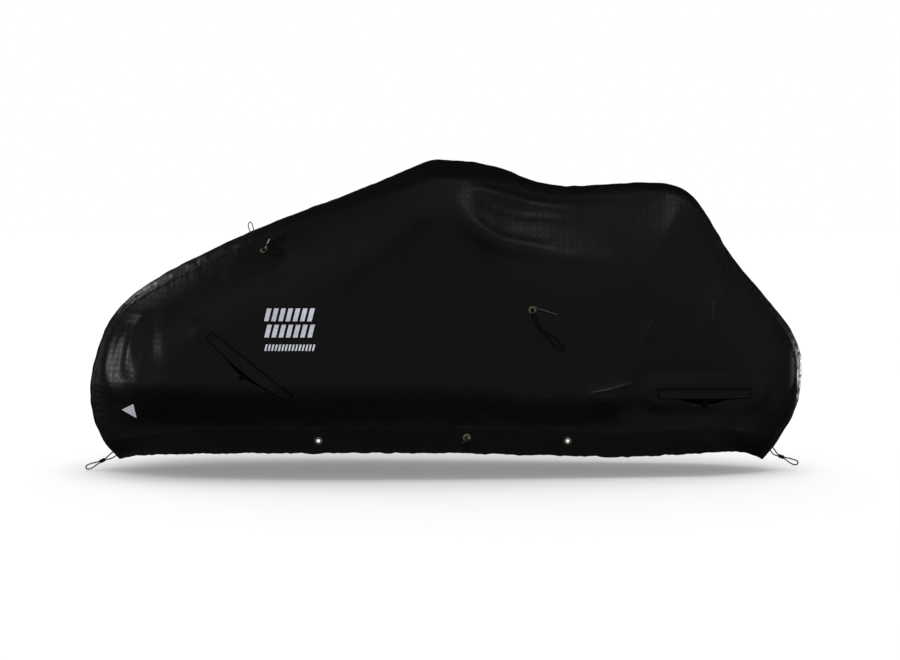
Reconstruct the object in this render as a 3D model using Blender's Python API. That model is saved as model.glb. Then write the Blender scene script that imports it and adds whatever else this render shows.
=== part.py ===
"""Fitted weather cover, hollow, in the shape in which its cloth drapes when it is in use.

Metres. X runs from the cover's nose (-X) to its tail, Y across it with its left side at -Y, Z up.
The origin is the mount that holds the cover up: just inside the cloth, under its highest point.
The cloth is two side panels, a centre gusset that runs from nose to tail, and a facing strip along
each hem. Each side has two lock flaps over slits, five brass eyelets, and elastic cords.
"""

import math

import bmesh
import bpy
import numpy as np
from mathutils import Matrix, Vector

CLOTH = 0.002               # thickness of the coated cloth
GAP = 0.0003                # clearance between pieces that touch
TOP_OF_MOUNT = 0.001        # the cloth's middle lies this far above the mount, at its highest point

# The cover's edge in the side view, from the front corner of the hem over the top to the rear one.
OUTLINE = (
    (-1.149, -1.063), (-1.206, -1.002), (-1.241, -0.930), (-1.254, -0.839), (-1.250, -0.770),
    (-1.220, -0.660), (-1.180, -0.570), (-1.117, -0.497), (-1.040, -0.438), (-0.940, -0.381),
    (-0.735, -0.281), (-0.520, -0.192), (-0.303, -0.112), (-0.142, -0.044), (-0.040, -0.004),
    (0.018, 0.000), (0.120, -0.008), (0.232, -0.033), (0.335, -0.074), (0.450, -0.092),
    (0.606, -0.084), (0.740, -0.080), (0.820, -0.087), (0.880, -0.112), (0.930, -0.163),
    (0.982, -0.247), (1.037, -0.337), (1.145, -0.465), (1.240, -0.582), (1.286, -0.672),
    (1.297, -0.760), (1.275, -0.890), (1.210, -1.002), (1.158, -1.066),
)
# The lower edge of the hem on one side, from its front corner to its rear one.
HEM = (
    (-1.149, -1.063), (-1.080, -1.043), (-0.980, -1.030), (-0.815, -1.018), (-0.485, -1.012),
    (-0.035, -1.012), (0.210, -1.019), (0.420, -1.027), (0.640, -1.034), (0.850, -1.029),
    (0.990, -1.022), (1.080, -1.032), (1.158, -1.066),
)
# Sections along the cover: half the gusset's width, how far its seam lies below its middle, half the
# widest width, how deep below the seam that width is reached, and half the width at the hem.
SECTIONS = (
    # x, gusset, drop, body, reach, hem
    (-1.260, 0.045, 0.020, 0.200, 0.260, 0.150),
    (-1.120, 0.075, 0.022, 0.250, 0.260, 0.170),
    (-0.950, 0.110, 0.030, 0.300, 0.260, 0.210),
    (-0.600, 0.165, 0.036, 0.335, 0.260, 0.265),
    (-0.280, 0.215, 0.050, 0.335, 0.220, 0.275),
    (-0.040, 0.265, 0.066, 0.320, 0.130, 0.265),
    (0.060, 0.255, 0.064, 0.315, 0.150, 0.260),
    (0.240, 0.160, 0.050, 0.295, 0.300, 0.245),
    (0.450, 0.105, 0.036, 0.270, 0.360, 0.225),
    (0.750, 0.095, 0.030, 0.225, 0.320, 0.195),
    (0.950, 0.085, 0.028, 0.190, 0.260, 0.175),
    (1.150, 0.070, 0.024, 0.165, 0.220, 0.155),
    (1.310, 0.045, 0.020, 0.140, 0.200, 0.130),
)
ARCH_POWER = 2.2            # how flat the gusset is across its middle
TURN_Z = -0.795             # the level below which the cloth turns in towards the hem
TURN_DEPTH = 0.125          # how far below it the cloth hangs straight again
# The main folds: three points of each one's line, half its width, and its height, negative inwards.
FOLDS = (
    # x0, z0, x1, z1, x2, z2, half_width, height
    (-0.020, -0.130, -0.170, -0.250, -0.360, -0.430, 0.045, 0.016),
    (-0.030, -0.200, -0.085, -0.320, -0.130, -0.440, 0.035, -0.016),
    (0.000, -0.160, -0.010, -0.400, -0.040, -0.640, 0.050, 0.014),
    (0.075, -0.120, 0.150, -0.135, 0.420, -0.150, 0.034, 0.014),
    (0.080, -0.190, 0.200, -0.260, 0.480, -0.255, 0.040, 0.017),
    (0.060, -0.290, 0.180, -0.400, 0.420, -0.420, 0.050, -0.014),
    (0.820, -0.190, 0.600, -0.330, 0.330, -0.520, 0.045, 0.012),
    (0.880, -0.230, 0.840, -0.420, 0.700, -0.640, 0.055, 0.014),
    (0.960, -0.330, 0.980, -0.480, 0.940, -0.640, 0.045, 0.014),
    (0.470, -0.780, 0.560, -0.800, 0.690, -0.760, 0.045, 0.022),
    (0.400, -0.700, 0.520, -0.730, 0.640, -0.690, 0.040, -0.010),
    (-1.150, -0.580, -1.170, -0.700, -1.150, -0.850, 0.030, 0.014),
    (-1.060, -0.540, -1.070, -0.680, -1.040, -0.820, 0.032, 0.014),
    (-0.990, -0.520, -1.000, -0.620, -0.960, -0.760, 0.036, -0.012),
    (-0.760, -0.420, -0.600, -0.470, -0.420, -0.560, 0.055, 0.012),
    (1.040, -0.940, 1.090, -0.990, 1.130, -1.030, 0.030, 0.012),
    (0.930, -0.960, 0.960, -1.000, 0.980, -1.030, 0.030, 0.010),
)
FOLD_FADE = 0.06            # folds die out over this distance to the seam
STRIP_HEIGHT = 0.085        # the facing strip along the hem
STRIP_BEND = 0.12           # share of the hem over which the strip turns up into the end seams
NOSE_SIDE = 0.640           # seam length from the hem's front corner to the top of the nose
TAIL_SIDE = 0.740           # seam length from the hem's rear corner to the top of the tail
PANEL_COLUMNS = 44
PANEL_ROWS = 15
STRIP_ROWS = 2
ACROSS_GUSSET = (-1.0, -0.5, 0.0, 0.5, 1.0)

# Eyelets on each side: place in the side view.
EYELETS = (
    # name, x, z
    ("bow", -0.608, -0.310),
    ("side", 0.319, -0.514),
    ("hem_front", -0.419, -0.968),
    ("hem_middle", 0.094, -0.959),
    ("hem_rear", 0.446, -0.975),
)
EYELET_BORE = 0.006         # radius of the hole in the brass
EYELET_BARREL = 0.0072
EYELET_FLANGE = 0.0135
EYELET_WASHER = 0.0125
FLANGE_THICKNESS = 0.0012
ROUND = 12                  # sides of an eyelet
EYELET_PLAY = 0.00036       # clearance of the eyelet's barrel in the cloth's hole
CUT_DEPTH = 0.03            # cutters reach this far each way through the cloth
FLAT_REACH = 0.070          # the cloth is flat this far around an eyelet
FLAP_FLAT_REACH = 0.035     # and this far around a flap's middle line
FLAT_FADE = 0.055
EYELET_PLANE_STEP = 0.02    # the planes' slopes are taken this far around an eyelet
FLAP_PLANE_STEP = 0.08      # and this far around a flap's middle

# Lock flaps on each side: the middle line's ends in the side view, and the width.
FLAPS = (
    # name, x0, z0, x1, z1, width
    ("front", -0.790, -0.596, -0.513, -0.818, 0.034),
    ("rear", 0.757, -0.811, 1.092, -0.815, 0.036),
)
FLAP_THICKNESS = 0.0016
SLIT_INSET = 0.018          # the slit ends this far from the flap's ends
SLIT_UNDER = 0.007          # it starts this far above the flap's lower edge
SLIT_SAG = 0.020            # and its lower lip hangs this far below it
SLIT_STEPS = 8
TAB_PLACE = 0.004           # how far the tab is sewn from the flap's middle
TAB_WIDTH = 0.018
TAB_LENGTH = 0.034
TAB_THICKNESS = 0.0016

# Elastic cords.
CORD = 0.0035               # diameter
CORD_STEP = 3.0             # spacing of the points, in diameters
# The cords of the nose and the tail: x and z of their points, which lie near the middle plane.
NOSE_CORD = (
    (-1.1715, -1.0396), (-1.1900, -1.0555), (-1.2041, -1.0678), (-1.2149, -1.0731),
    (-1.2257, -1.0784), (-1.2460, -1.0835), (-1.2640, -1.0890), (-1.2735, -1.0960),
    (-1.2715, -1.1040), (-1.2640, -1.1060), (-1.2500, -1.1010), (-1.2370, -1.0915),
    (-1.2239, -1.0822), (-1.2131, -1.0769), (-1.2023, -1.0716), (-1.1860, -1.0685),
    (-1.1700, -1.0605), (-1.1592, -1.0519),
)
TAIL_CORD = (
    (1.1934, -1.0232), (1.2060, -1.0400), (1.2167, -1.0540), (1.2278, -1.0586),
    (1.2389, -1.0632), (1.2600, -1.0680), (1.2790, -1.0735), (1.2875, -1.0800),
    (1.2845, -1.0880), (1.2740, -1.0900), (1.2560, -1.0810), (1.2373, -1.0670),
    (1.2262, -1.0624), (1.2151, -1.0578), (1.2010, -1.0530), (1.1920, -1.0440),
    (1.1857, -1.0336),
)
DRAWCORD_Y = -0.012
# The cords of the eyelets: points to the right, up and out from each eyelet's middle.
BOW_CORD = (
    (-0.0021, -0.0015, -0.0008), (-0.0022, -0.0015, 0.0040), (-0.0010, 0.0010, 0.0095),
    (0.0080, 0.0130, 0.0110), (0.0250, 0.0340, 0.0085), (0.0420, 0.0530, 0.0060),
    (0.0560, 0.0640, 0.0050), (0.0630, 0.0590, 0.0055), (0.0580, 0.0460, 0.0060),
    (0.0420, 0.0290, 0.0080), (0.0260, 0.0130, 0.0120), (0.0230, 0.0040, 0.0130),
    (0.0330, 0.0020, 0.0100), (0.0520, 0.0040, 0.0070), (0.0720, 0.0010, 0.0060),
    (0.0830, -0.0080, 0.0050), (0.0800, -0.0200, 0.0050), (0.0640, -0.0240, 0.0050),
    (0.0430, -0.0210, 0.0060), (0.0240, -0.0150, 0.0080), (0.0100, -0.0070, 0.0095),
    (0.0030, -0.0020, 0.0070), (0.0021, -0.0015, 0.0035), (0.0021, -0.0015, -0.0008),
)
# The right side's bow cord lies the other way and stands up past the gusset.
FAR_BOW_CORD = (
    (-0.0021, -0.0020, -0.0003), (-0.0022, -0.0020, 0.0050), (-0.0070, -0.0025, 0.0100),
    (-0.0200, 0.0000, 0.0140), (-0.0400, 0.0060, 0.0210), (-0.0620, 0.0130, 0.0310),
    (-0.0800, 0.0200, 0.0430), (-0.0905, 0.0260, 0.0510), (-0.0950, 0.0350, 0.0616),
    (-0.0962, 0.0420, 0.0693), (-0.0928, 0.0485, 0.0728), (-0.0880, 0.0520, 0.0722),
    (-0.0843, 0.0490, 0.0672), (-0.0815, 0.0430, 0.0595), (-0.0780, 0.0333, 0.0483),
    (-0.0700, 0.0260, 0.0380), (-0.0560, 0.0190, 0.0290), (-0.0380, 0.0130, 0.0215),
    (-0.0200, 0.0080, 0.0160), (-0.0060, 0.0035, 0.0125), (0.0010, 0.0005, 0.0090),
    (0.0021, -0.0010, 0.0045), (0.0021, -0.0010, -0.0003),
)
SIDE_CORD = (
    (-0.0021, 0.0000, -0.0003), (-0.0023, -0.0010, 0.0045), (-0.0020, -0.0070, 0.0080),
    (0.0000, -0.0200, 0.0065), (0.0060, -0.0390, 0.0065), (0.0130, -0.0520, 0.0070),
    (0.0218, -0.0618, 0.0080), (0.0306, -0.0700, 0.0080), (0.0393, -0.0782, 0.0080),
    (0.0560, -0.0990, 0.0060), (0.0780, -0.1230, 0.0050), (0.0960, -0.1390, 0.0045),
    (0.1060, -0.1420, 0.0045), (0.1100, -0.1330, 0.0045), (0.1000, -0.1180, 0.0050),
    (0.0790, -0.0960, 0.0060), (0.0600, -0.0860, 0.0070), (0.0422, -0.0752, 0.0080),
    (0.0334, -0.0670, 0.0080), (0.0247, -0.0588, 0.0080), (0.0190, -0.0460, 0.0070),
    (0.0150, -0.0280, 0.0065), (0.0080, -0.0120, 0.0075), (0.0030, -0.0030, 0.0065),
    (0.0021, 0.0000, -0.0003),
)
HEM_CORD = (
    (-0.0021, 0.0000, -0.0008), (-0.0021, 0.0010, 0.0050), (-0.0026, -0.0030, 0.0102),
    (-0.0040, -0.0120, 0.0112), (-0.0045, -0.0240, 0.0080), (-0.0020, -0.0390, 0.0050),
    (0.0040, -0.0470, 0.0050), (0.0105, -0.0450, 0.0050), (0.0110, -0.0350, 0.0055),
    (0.0070, -0.0230, 0.0085), (0.0040, -0.0120, 0.0112), (0.0026, -0.0030, 0.0102),
    (0.0021, 0.0010, 0.0050), (0.0021, 0.0000, -0.0008),
)
# Each eyelet's cord on the left and on the right, and the ends of its toggle bar, in that frame too.
EYELET_CORDS = (
    # eyelet, left, right, bar_start, bar_end
    ("bow", BOW_CORD, FAR_BOW_CORD, (0.0055, 0.0050, 0.0048), (0.0060, 0.0460, 0.0060)),
    ("side", SIDE_CORD, SIDE_CORD, (0.0040, 0.0105, 0.0048), (0.0860, -0.0160, 0.0060)),
    ("hem_middle", HEM_CORD, HEM_CORD, (-0.0160, -0.0180, 0.0050), (0.0130, -0.0060, 0.0050)),
)
BAR_RADII = (0.0017, 0.0022, 0.0020, 0.0013)
# Cord locks: middle and direction, in the frame of the cord's own points.
SIDE_LOCK = ((0.0320, -0.0685, 0.0080), (0.0750, -0.0700, 0.0))
NOSE_LOCK = ((-1.2140, -1.0750), (-0.0550, -0.0270))
TAIL_LOCK = ((1.2270, -1.0605), (0.0560, -0.0235))
LOCK_SIZE = (0.018, 0.0140, 0.0090)
LOCK_SLOT = (0.0100, 0.0052)
LOCK_BEVEL = 0.0022
# The knot behind an eyelet, as radius and depth from the cloth's middle.
KNOT_PROFILE = (
    (0.0044, -0.0018), (0.0082, -0.0062), (0.0090, -0.0094), (0.0070, -0.0130), (0.0030, -0.0150),
)

COLOURS = {
    # material: base colour, roughness, metallic
    "coated_cloth": ((0.010, 0.010, 0.011, 1.0), 0.42, 0.0),
    "hem_cloth": ((0.008, 0.008, 0.009, 1.0), 0.50, 0.0),
    "webbing": ((0.006, 0.006, 0.006, 1.0), 0.75, 0.0),
    "brass": ((0.62, 0.50, 0.26, 1.0), 0.28, 1.0),
    "elastic_cord": ((0.010, 0.010, 0.010, 1.0), 0.70, 0.0),
    "lock_plastic": ((0.030, 0.030, 0.032, 1.0), 0.40, 0.0),
    "pale_plastic": ((0.55, 0.55, 0.52, 1.0), 0.35, 0.0),
}


# ---- curves and tables -------------------------------------------------------------------------

def smooth_step(value):
    """An even ease from 0 to 1."""
    t = np.clip(value, 0.0, 1.0)
    return t * t * (3.0 - 2.0 * t)


def curve_through(points, steps):
    """A smooth curve through every point, with some steps from each point to the next."""
    p = np.array(points, dtype=float)
    padded = np.vstack((2 * p[0] - p[1], p, 2 * p[-1] - p[-2]))
    t = np.linspace(0.0, 1.0, steps, endpoint=False)[:, None]
    spans = []
    for a, b, c, d in zip(padded, padded[1:], padded[2:], padded[3:]):
        bend = (2 * a - 5 * b + 4 * c - d) * t ** 2 + (3 * b - a - 3 * c + d) * t ** 3
        spans.append(0.5 * (2 * b + (c - a) * t + bend))
    return np.vstack(spans + [p[-1:]])


def run_of(curve):
    """The length along a curve at each of its points."""
    return np.concatenate(([0.0], np.cumsum(np.linalg.norm(np.diff(curve, axis=0), axis=1))))


def at_lengths(curve, lengths, run):
    """The points of a curve at the given lengths along it."""
    return np.stack([np.interp(lengths, run, curve[:, k]) for k in range(curve.shape[1])], axis=1)


def column(table, index, x):
    """A column of a table, eased smoothly between its rows, at each x."""
    keys = np.array([row[0] for row in table])
    values = np.array([row[index] for row in table])
    slopes = np.gradient(values, keys)
    x = np.clip(x, keys[0], keys[-1])
    i = np.clip(np.searchsorted(keys, x) - 1, 0, len(keys) - 2)
    width = keys[i + 1] - keys[i]
    t = (x - keys[i]) / width
    start = values[i] * (1 + 2 * t) * (1 - t) ** 2 + slopes[i] * width * t * (1 - t) ** 2
    end = values[i + 1] * t ** 2 * (3 - 2 * t) - slopes[i + 1] * width * t ** 2 * (1 - t)
    return start + end


def distance_to(curve, points):
    """How far each point is from a curve, and how far along the curve its nearest place is."""
    a = curve[:-1]
    step = curve[1:] - a
    length = np.maximum((step ** 2).sum(axis=1), 1e-12)
    best = np.full(len(points), 1e9)
    place = np.zeros(len(points))
    for k in range(len(a)):
        t = np.clip(((points - a[k]) @ step[k]) / length[k], 0.0, 1.0)
        d = np.linalg.norm(points - a[k] - t[:, None] * step[k], axis=1)
        nearer = d < best
        best[nearer] = d[nearer]
        place[nearer] = (k + t[nearer]) / len(a)
    return best, place


# ---- the draped surface ------------------------------------------------------------------------

def lay_out_edges():
    """The cover's edge, the gusset's seam inside it, and the lengths along the seam."""
    edge = curve_through(OUTLINE, 12)
    edge[:, 1] += TOP_OF_MOUNT
    tangent = np.gradient(edge, axis=0)
    tangent /= np.linalg.norm(tangent, axis=1)[:, None]
    inwards = np.stack((tangent[:, 1], -tangent[:, 0]), axis=1)
    seam = edge + inwards * column(SECTIONS, 2, edge[:, 0])[:, None]
    return edge, seam, run_of(seam)


EDGE, SEAM, SEAM_RUN = lay_out_edges()


def fold_height(points):
    """How far the main folds push the cloth out at each point of the side view."""
    total = np.zeros(len(points))
    for x0, z0, x1, z1, x2, z2, half_width, height in FOLDS:
        line = curve_through(((x0, z0), (x1, z1), (x2, z2)), 6)
        away, place = distance_to(line, points)
        total += height * np.exp(-(away / half_width) ** 2) * (1 - abs(2 * place - 1) ** 3)
    return total


def draped(x, z):
    """Half the cover's width at points of the side view, with its folds."""
    points = np.stack((x, z), axis=1)
    depth, _ = distance_to(SEAM, points)
    gusset = column(SECTIONS, 1, x)
    body = column(SECTIONS, 3, x)
    hem = column(SECTIONS, 5, x)
    rise = 1 - (1 - np.clip(depth / column(SECTIONS, 4, x), 0.0, 1.0)) ** 2
    turn = smooth_step((TURN_Z - z) / TURN_DEPTH)
    width = gusset + (body - gusset - (body - hem) * turn) * rise
    return width + fold_height(points) * smooth_step(depth / FOLD_FADE)


def plane_at(x, z, step):
    """The plane that touches the cloth: its place, its half width there, and its slopes."""
    around = draped(np.array([x, x - step, x + step, x, x]), np.array([z, z, z, z - step, z + step]))
    slope_x = (around[2] - around[1]) / (2 * step)
    slope_z = (around[4] - around[3]) / (2 * step)
    return x, z, around.mean(), slope_x, slope_z


def flat_places():
    """Where the cloth lies flat: the middle line's ends, the plane, and the reach around the line."""
    flats = {}
    for name, x, z in EYELETS:
        flats[name] = ((x, z), (x, z), plane_at(x, z, EYELET_PLANE_STEP), FLAT_REACH)
    for name, x0, z0, x1, z1, width in FLAPS:
        plane = plane_at((x0 + x1) / 2, (z0 + z1) / 2, FLAP_PLANE_STEP)
        flats[f"flap_{name}"] = ((x0, z0), (x1, z1), plane, FLAP_FLAT_REACH)
    return flats


FLATS = flat_places()


def half_width(x, z):
    """The draped half width, made flat around the eyelets and under the flaps."""
    width = draped(x, z)
    points = np.stack((x, z), axis=1)
    for start, end, (place_x, place_z, middle, slope_x, slope_z), reach in FLATS.values():
        away, _ = distance_to(np.array((start, end)), points)
        flat = middle + slope_x * (x - place_x) + slope_z * (z - place_z)
        share = smooth_step((reach + FLAT_FADE - away) / FLAT_FADE)
        width = width + (flat - width) * share
    return width


# ---- the cloth's grid --------------------------------------------------------------------------

def patch(top, bottom, left, right):
    """A grid of points that meets four edges, with rows from top to bottom."""
    rows = len(left)
    columns = len(top)
    grid = np.zeros((rows, columns, 2))
    for i in range(rows):
        v = i / (rows - 1)
        for j in range(columns):
            u = j / (columns - 1)
            ruled = (1 - v) * top[j] + v * bottom[j] + (1 - u) * left[i] + u * right[i]
            corners = (1 - v) * ((1 - u) * top[0] + u * top[-1]) + v * ((1 - u) * bottom[0] + u * bottom[-1])
            grid[i, j] = ruled - corners
    return grid


def lay_out_grids():
    """The side view's grids of a panel and of a hem strip, and the seam's stations."""
    total = SEAM_RUN[-1]
    stations = np.concatenate((
        np.linspace(0.0, STRIP_HEIGHT, STRIP_ROWS, endpoint=False),
        np.linspace(STRIP_HEIGHT, NOSE_SIDE, PANEL_ROWS, endpoint=False),
        np.linspace(NOSE_SIDE, total - TAIL_SIDE, PANEL_COLUMNS, endpoint=False),
        np.linspace(total - TAIL_SIDE, total - STRIP_HEIGHT, PANEL_ROWS, endpoint=False),
        np.linspace(total - STRIP_HEIGHT, total, STRIP_ROWS + 1),
    ))
    seam = at_lengths(SEAM, stations, SEAM_RUN)
    edge = at_lengths(EDGE, stations, SEAM_RUN)
    front = STRIP_ROWS + PANEL_ROWS
    rear = front + PANEL_COLUMNS
    top = seam[front:rear + 1]
    left = seam[STRIP_ROWS:front + 1][::-1]
    right = seam[rear:rear + PANEL_ROWS + 1]
    hem = curve_through(HEM, 8)
    hem[0] = seam[0]
    hem[-1] = seam[-1]
    hem_run = run_of(hem)
    lower = at_lengths(hem, np.linspace(0.0, hem_run[-1], PANEL_COLUMNS + 1), hem_run)
    upper = lower.copy()
    for j in range(PANEL_COLUMNS + 1):
        u = j / PANEL_COLUMNS
        to_front = 1 - smooth_step(u / STRIP_BEND)
        to_rear = 1 - smooth_step((1 - u) / STRIP_BEND)
        straight = np.array((0.0, STRIP_HEIGHT)) * (1 - to_front - to_rear)
        upper[j] += straight + (left[-1] - lower[0]) * to_front + (right[-1] - lower[-1]) * to_rear
    strip_left = seam[:STRIP_ROWS + 1][::-1]
    strip_right = seam[-STRIP_ROWS - 1:]
    return patch(top, upper, left, right), patch(upper, lower, strip_left, strip_right), seam, edge


def quads_of(grid_index, flip):
    """The four corners of each cell of a grid of vertex numbers."""
    cells = []
    for upper, lower in zip(grid_index, grid_index[1:]):
        for a, b, c, d in zip(upper, upper[1:], lower[1:], lower):
            cells.append((a, b, c, d) if flip else (a, d, c, b))
    return cells


def weave_surface():
    """Every point and normal of the cloth's middle surface, and each piece's triangles."""
    panel, strip, seam, edge = lay_out_grids()
    places = []
    numbers = {}

    def number(x, y, z):
        key = (round(x, 6), round(y, 6), round(z, 6))
        if key not in numbers:
            numbers[key] = len(places)
            places.append(Vector((x, y, z)))
        return numbers[key]

    pieces = {}
    for side, sign in (("left", -1), ("right", 1)):
        for name, grid in (("panel", panel), ("hem", strip)):
            index = []
            for row in grid:
                widths = half_width(row[:, 0], row[:, 1])
                index.append([number(x, sign * w, z) for (x, z), w in zip(row, widths)])
            pieces[f"{name}_{side}"] = quads_of(index, sign > 0)
    widths = half_width(seam[:, 0], seam[:, 1])
    index = []
    for (sx, sz), (ex, ez), width in zip(seam, edge, widths):
        row = []
        for t in ACROSS_GUSSET:
            fall = abs(t) ** ARCH_POWER
            row.append(number(ex + (sx - ex) * fall, t * width, ez + (sz - ez) * fall))
        index.append(row)
    pieces["gusset"] = quads_of(index, False)

    mesh = bmesh.new()
    verts = [mesh.verts.new(place) for place in places]
    triangles = {}
    for name, cells in pieces.items():
        triangles[name] = []
        for a, b, c, d in cells:
            halves = ((a, b, c), (a, c, d))
            if (places[a] - places[c]).length > (places[b] - places[d]).length:
                halves = ((a, b, d), (b, c, d))
            for corners in halves:
                mesh.faces.new([verts[k] for k in corners])
                triangles[name].append(corners)
    mesh.normal_update()
    normals = [vert.normal.copy() for vert in verts]
    mesh.free()
    return places, normals, triangles


# ---- helpers for objects -----------------------------------------------------------------------

def clear_scene():
    for thing in list(bpy.data.objects):
        bpy.data.objects.remove(thing, do_unlink=True)


def material(name):
    """The named material, made the first time it is asked for."""
    if name in bpy.data.materials:
        return bpy.data.materials[name]
    made = bpy.data.materials.new(name)
    made.use_nodes = True
    shader = made.node_tree.nodes["Principled BSDF"]
    colour, roughness, metallic = COLOURS[name]
    shader.inputs["Base Color"].default_value = colour
    shader.inputs["Roughness"].default_value = roughness
    shader.inputs["Metallic"].default_value = metallic
    return made


def add_mesh(name, points, faces, finish):
    """An object from points and faces, with its faces turned outwards."""
    data = bpy.data.meshes.new(name)
    shape = bmesh.new()
    verts = [shape.verts.new(point) for point in points]
    for corners in faces:
        shape.faces.new([verts[k] for k in corners])
    bmesh.ops.recalc_face_normals(shape, faces=shape.faces)
    shape.to_mesh(data)
    shape.free()
    data.shade_smooth()
    data.set_sharp_from_angle(angle=math.radians(40))
    thing = bpy.data.objects.new(name, data)
    if finish:
        data.materials.append(material(finish))
    bpy.context.scene.collection.objects.link(thing)
    return thing


def cut(thing, cutter):
    """Take the cutter's shape out of an object."""
    cutter.hide_render = True
    cutter.display_type = "WIRE"
    boolean = thing.modifiers.new("cut", "BOOLEAN")
    boolean.operation = "DIFFERENCE"
    boolean.solver = "EXACT"
    boolean.object = cutter


def sheet(name, places, normals, triangles, finish):
    """A piece of cloth: its middle surface, drawn in a little at its edge, and given thickness."""
    used = sorted({k for corners in triangles for k in corners})
    order = {k: i for i, k in enumerate(used)}
    edges = set()
    for a, b, c in triangles:
        for start, end in ((a, b), (b, c), (c, a)):
            if (end, start) in edges:
                edges.remove((end, start))
            else:
                edges.add((start, end))
    inwards = {k: Vector() for k in used}
    for start, end in edges:
        along = (places[end] - places[start]).normalized()
        for k in (start, end):
            inwards[k] += normals[k].cross(along).normalized()
    middles = []
    for k in used:
        draw = inwards[k]
        place = places[k].copy()
        if draw.length > 1e-6:
            half_angle = draw.length / 2
            place += draw.normalized() * (GAP / 2 / half_angle)
        middles.append(place)
    outer = [middles[order[k]] + normals[k] * CLOTH / 2 for k in used]
    inner = [middles[order[k]] - normals[k] * CLOTH / 2 for k in used]
    count = len(used)
    faces = []
    for a, b, c in triangles:
        faces.append((order[a], order[b], order[c]))
        faces.append((order[c] + count, order[b] + count, order[a] + count))
    for start, end in sorted(edges):
        a, b = order[start], order[end]
        if a < b:
            faces += [(a, b, b + count), (a, b + count, a + count)]
        else:
            faces += [(a, b, a + count), (b, b + count, a + count)]
    return add_mesh(name, outer + inner, faces, finish)


def turned(name, profile, frame, finish):
    """A closed ring turned from a profile of radius and height around the frame's third axis."""
    points = []
    for k in range(ROUND):
        angle = 2 * math.pi * (k + 0.5) / ROUND
        for radius, height in profile:
            points.append(frame @ Vector((radius * math.cos(angle), radius * math.sin(angle), height)))
    size = len(profile)
    faces = []
    for k in range(ROUND):
        nxt = (k + 1) % ROUND
        for i in range(size):
            j = (i + 1) % size
            faces.append((k * size + i, nxt * size + i, nxt * size + j, k * size + j))
    return add_mesh(name, points, faces, finish)


def lathe(name, profile, frame, finish):
    """A solid turned from an open profile, closed with a flat face at each end."""
    points = []
    for radius, height in profile:
        for k in range(ROUND):
            angle = 2 * math.pi * (k + 0.5) / ROUND
            points.append(frame @ Vector((radius * math.cos(angle), radius * math.sin(angle), height)))
    faces = [tuple(range(ROUND)), tuple(range(len(points) - ROUND, len(points)))]
    for i in range(len(profile) - 1):
        for k in range(ROUND):
            nxt = (k + 1) % ROUND
            faces.append((i * ROUND + k, i * ROUND + nxt, (i + 1) * ROUND + nxt, (i + 1) * ROUND + k))
    return add_mesh(name, points, faces, finish)


def tube(name, points, finish):
    """A cord: a round tube through evenly spaced points of a smooth curve."""
    smooth = curve_through(points, 10)
    run = run_of(smooth)
    count = max(6, round(run[-1] / (CORD * CORD_STEP)))
    even = at_lengths(smooth, np.linspace(0.0, run[-1], count + 1), run)
    data = bpy.data.curves.new(name, "CURVE")
    data.dimensions = "3D"
    data.bevel_depth = CORD / 2
    data.bevel_resolution = 2
    data.use_fill_caps = True
    data.render_resolution_u = 0
    spline = data.splines.new("POLY")
    spline.points.add(count)
    for point, place in zip(spline.points, even):
        point.co = (*place, 1.0)
    data.materials.append(material(finish))
    thing = bpy.data.objects.new(name, data)
    bpy.context.scene.collection.objects.link(thing)
    return thing


# ---- the pieces --------------------------------------------------------------------------------

def eyelet_frame(name, sign):
    """A frame at an eyelet: its axes run to the right, up the cloth and out of it."""
    return surface_frame(FLATS[name][2], (1.0, 0.0), sign)


def make_cloth():
    """The gusset, the side panels and the hem strips."""
    places, normals, triangles = weave_surface()
    cloth = {}
    for name, corners in triangles.items():
        finish = "hem_cloth" if name.startswith("hem") else "coated_cloth"
        cloth[name] = sheet(name, places, normals, corners, finish)
    return cloth


def make_eyelets(cloth, side, sign):
    """The brass eyelets of one side, and the holes they sit in."""
    lip = CLOTH / 2 + GAP
    face = lip + FLANGE_THICKNESS
    profile = (
        (EYELET_BORE, -face), (EYELET_BORE, face), (EYELET_FLANGE, face), (EYELET_FLANGE, lip),
        (EYELET_BARREL, lip), (EYELET_BARREL, -lip), (EYELET_WASHER, -lip), (EYELET_WASHER, -face),
    )
    hole = EYELET_BARREL + EYELET_PLAY
    for name, _, _ in EYELETS:
        frame = eyelet_frame(name, sign)
        turned(f"eyelet_{name}_{side}", profile, frame, "brass")
        cutter = lathe(f"cutter_{name}_{side}", ((hole, -CUT_DEPTH), (hole, CUT_DEPTH)), frame, None)
        piece = "hem" if name.startswith("hem") else "panel"
        cut(cloth[f"{piece}_{side}"], cutter)


def surface_frame(plane, along, sign):
    """A frame on a flat place: its axes run along a direction of the side view, up and out."""
    x, z, width, slope_x, slope_z = plane
    out = Vector((-slope_x, -1.0, -slope_z)).normalized()
    right = Vector((along[0], -slope_x * along[0] - slope_z * along[1], along[1])).normalized()
    up = out.cross(right)
    frame = Matrix((right, up, out)).transposed().to_4x4()
    frame.translation = Vector((x, -width, z))
    return Matrix.Diagonal((1.0, -sign, 1.0, 1.0)) @ frame


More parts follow.
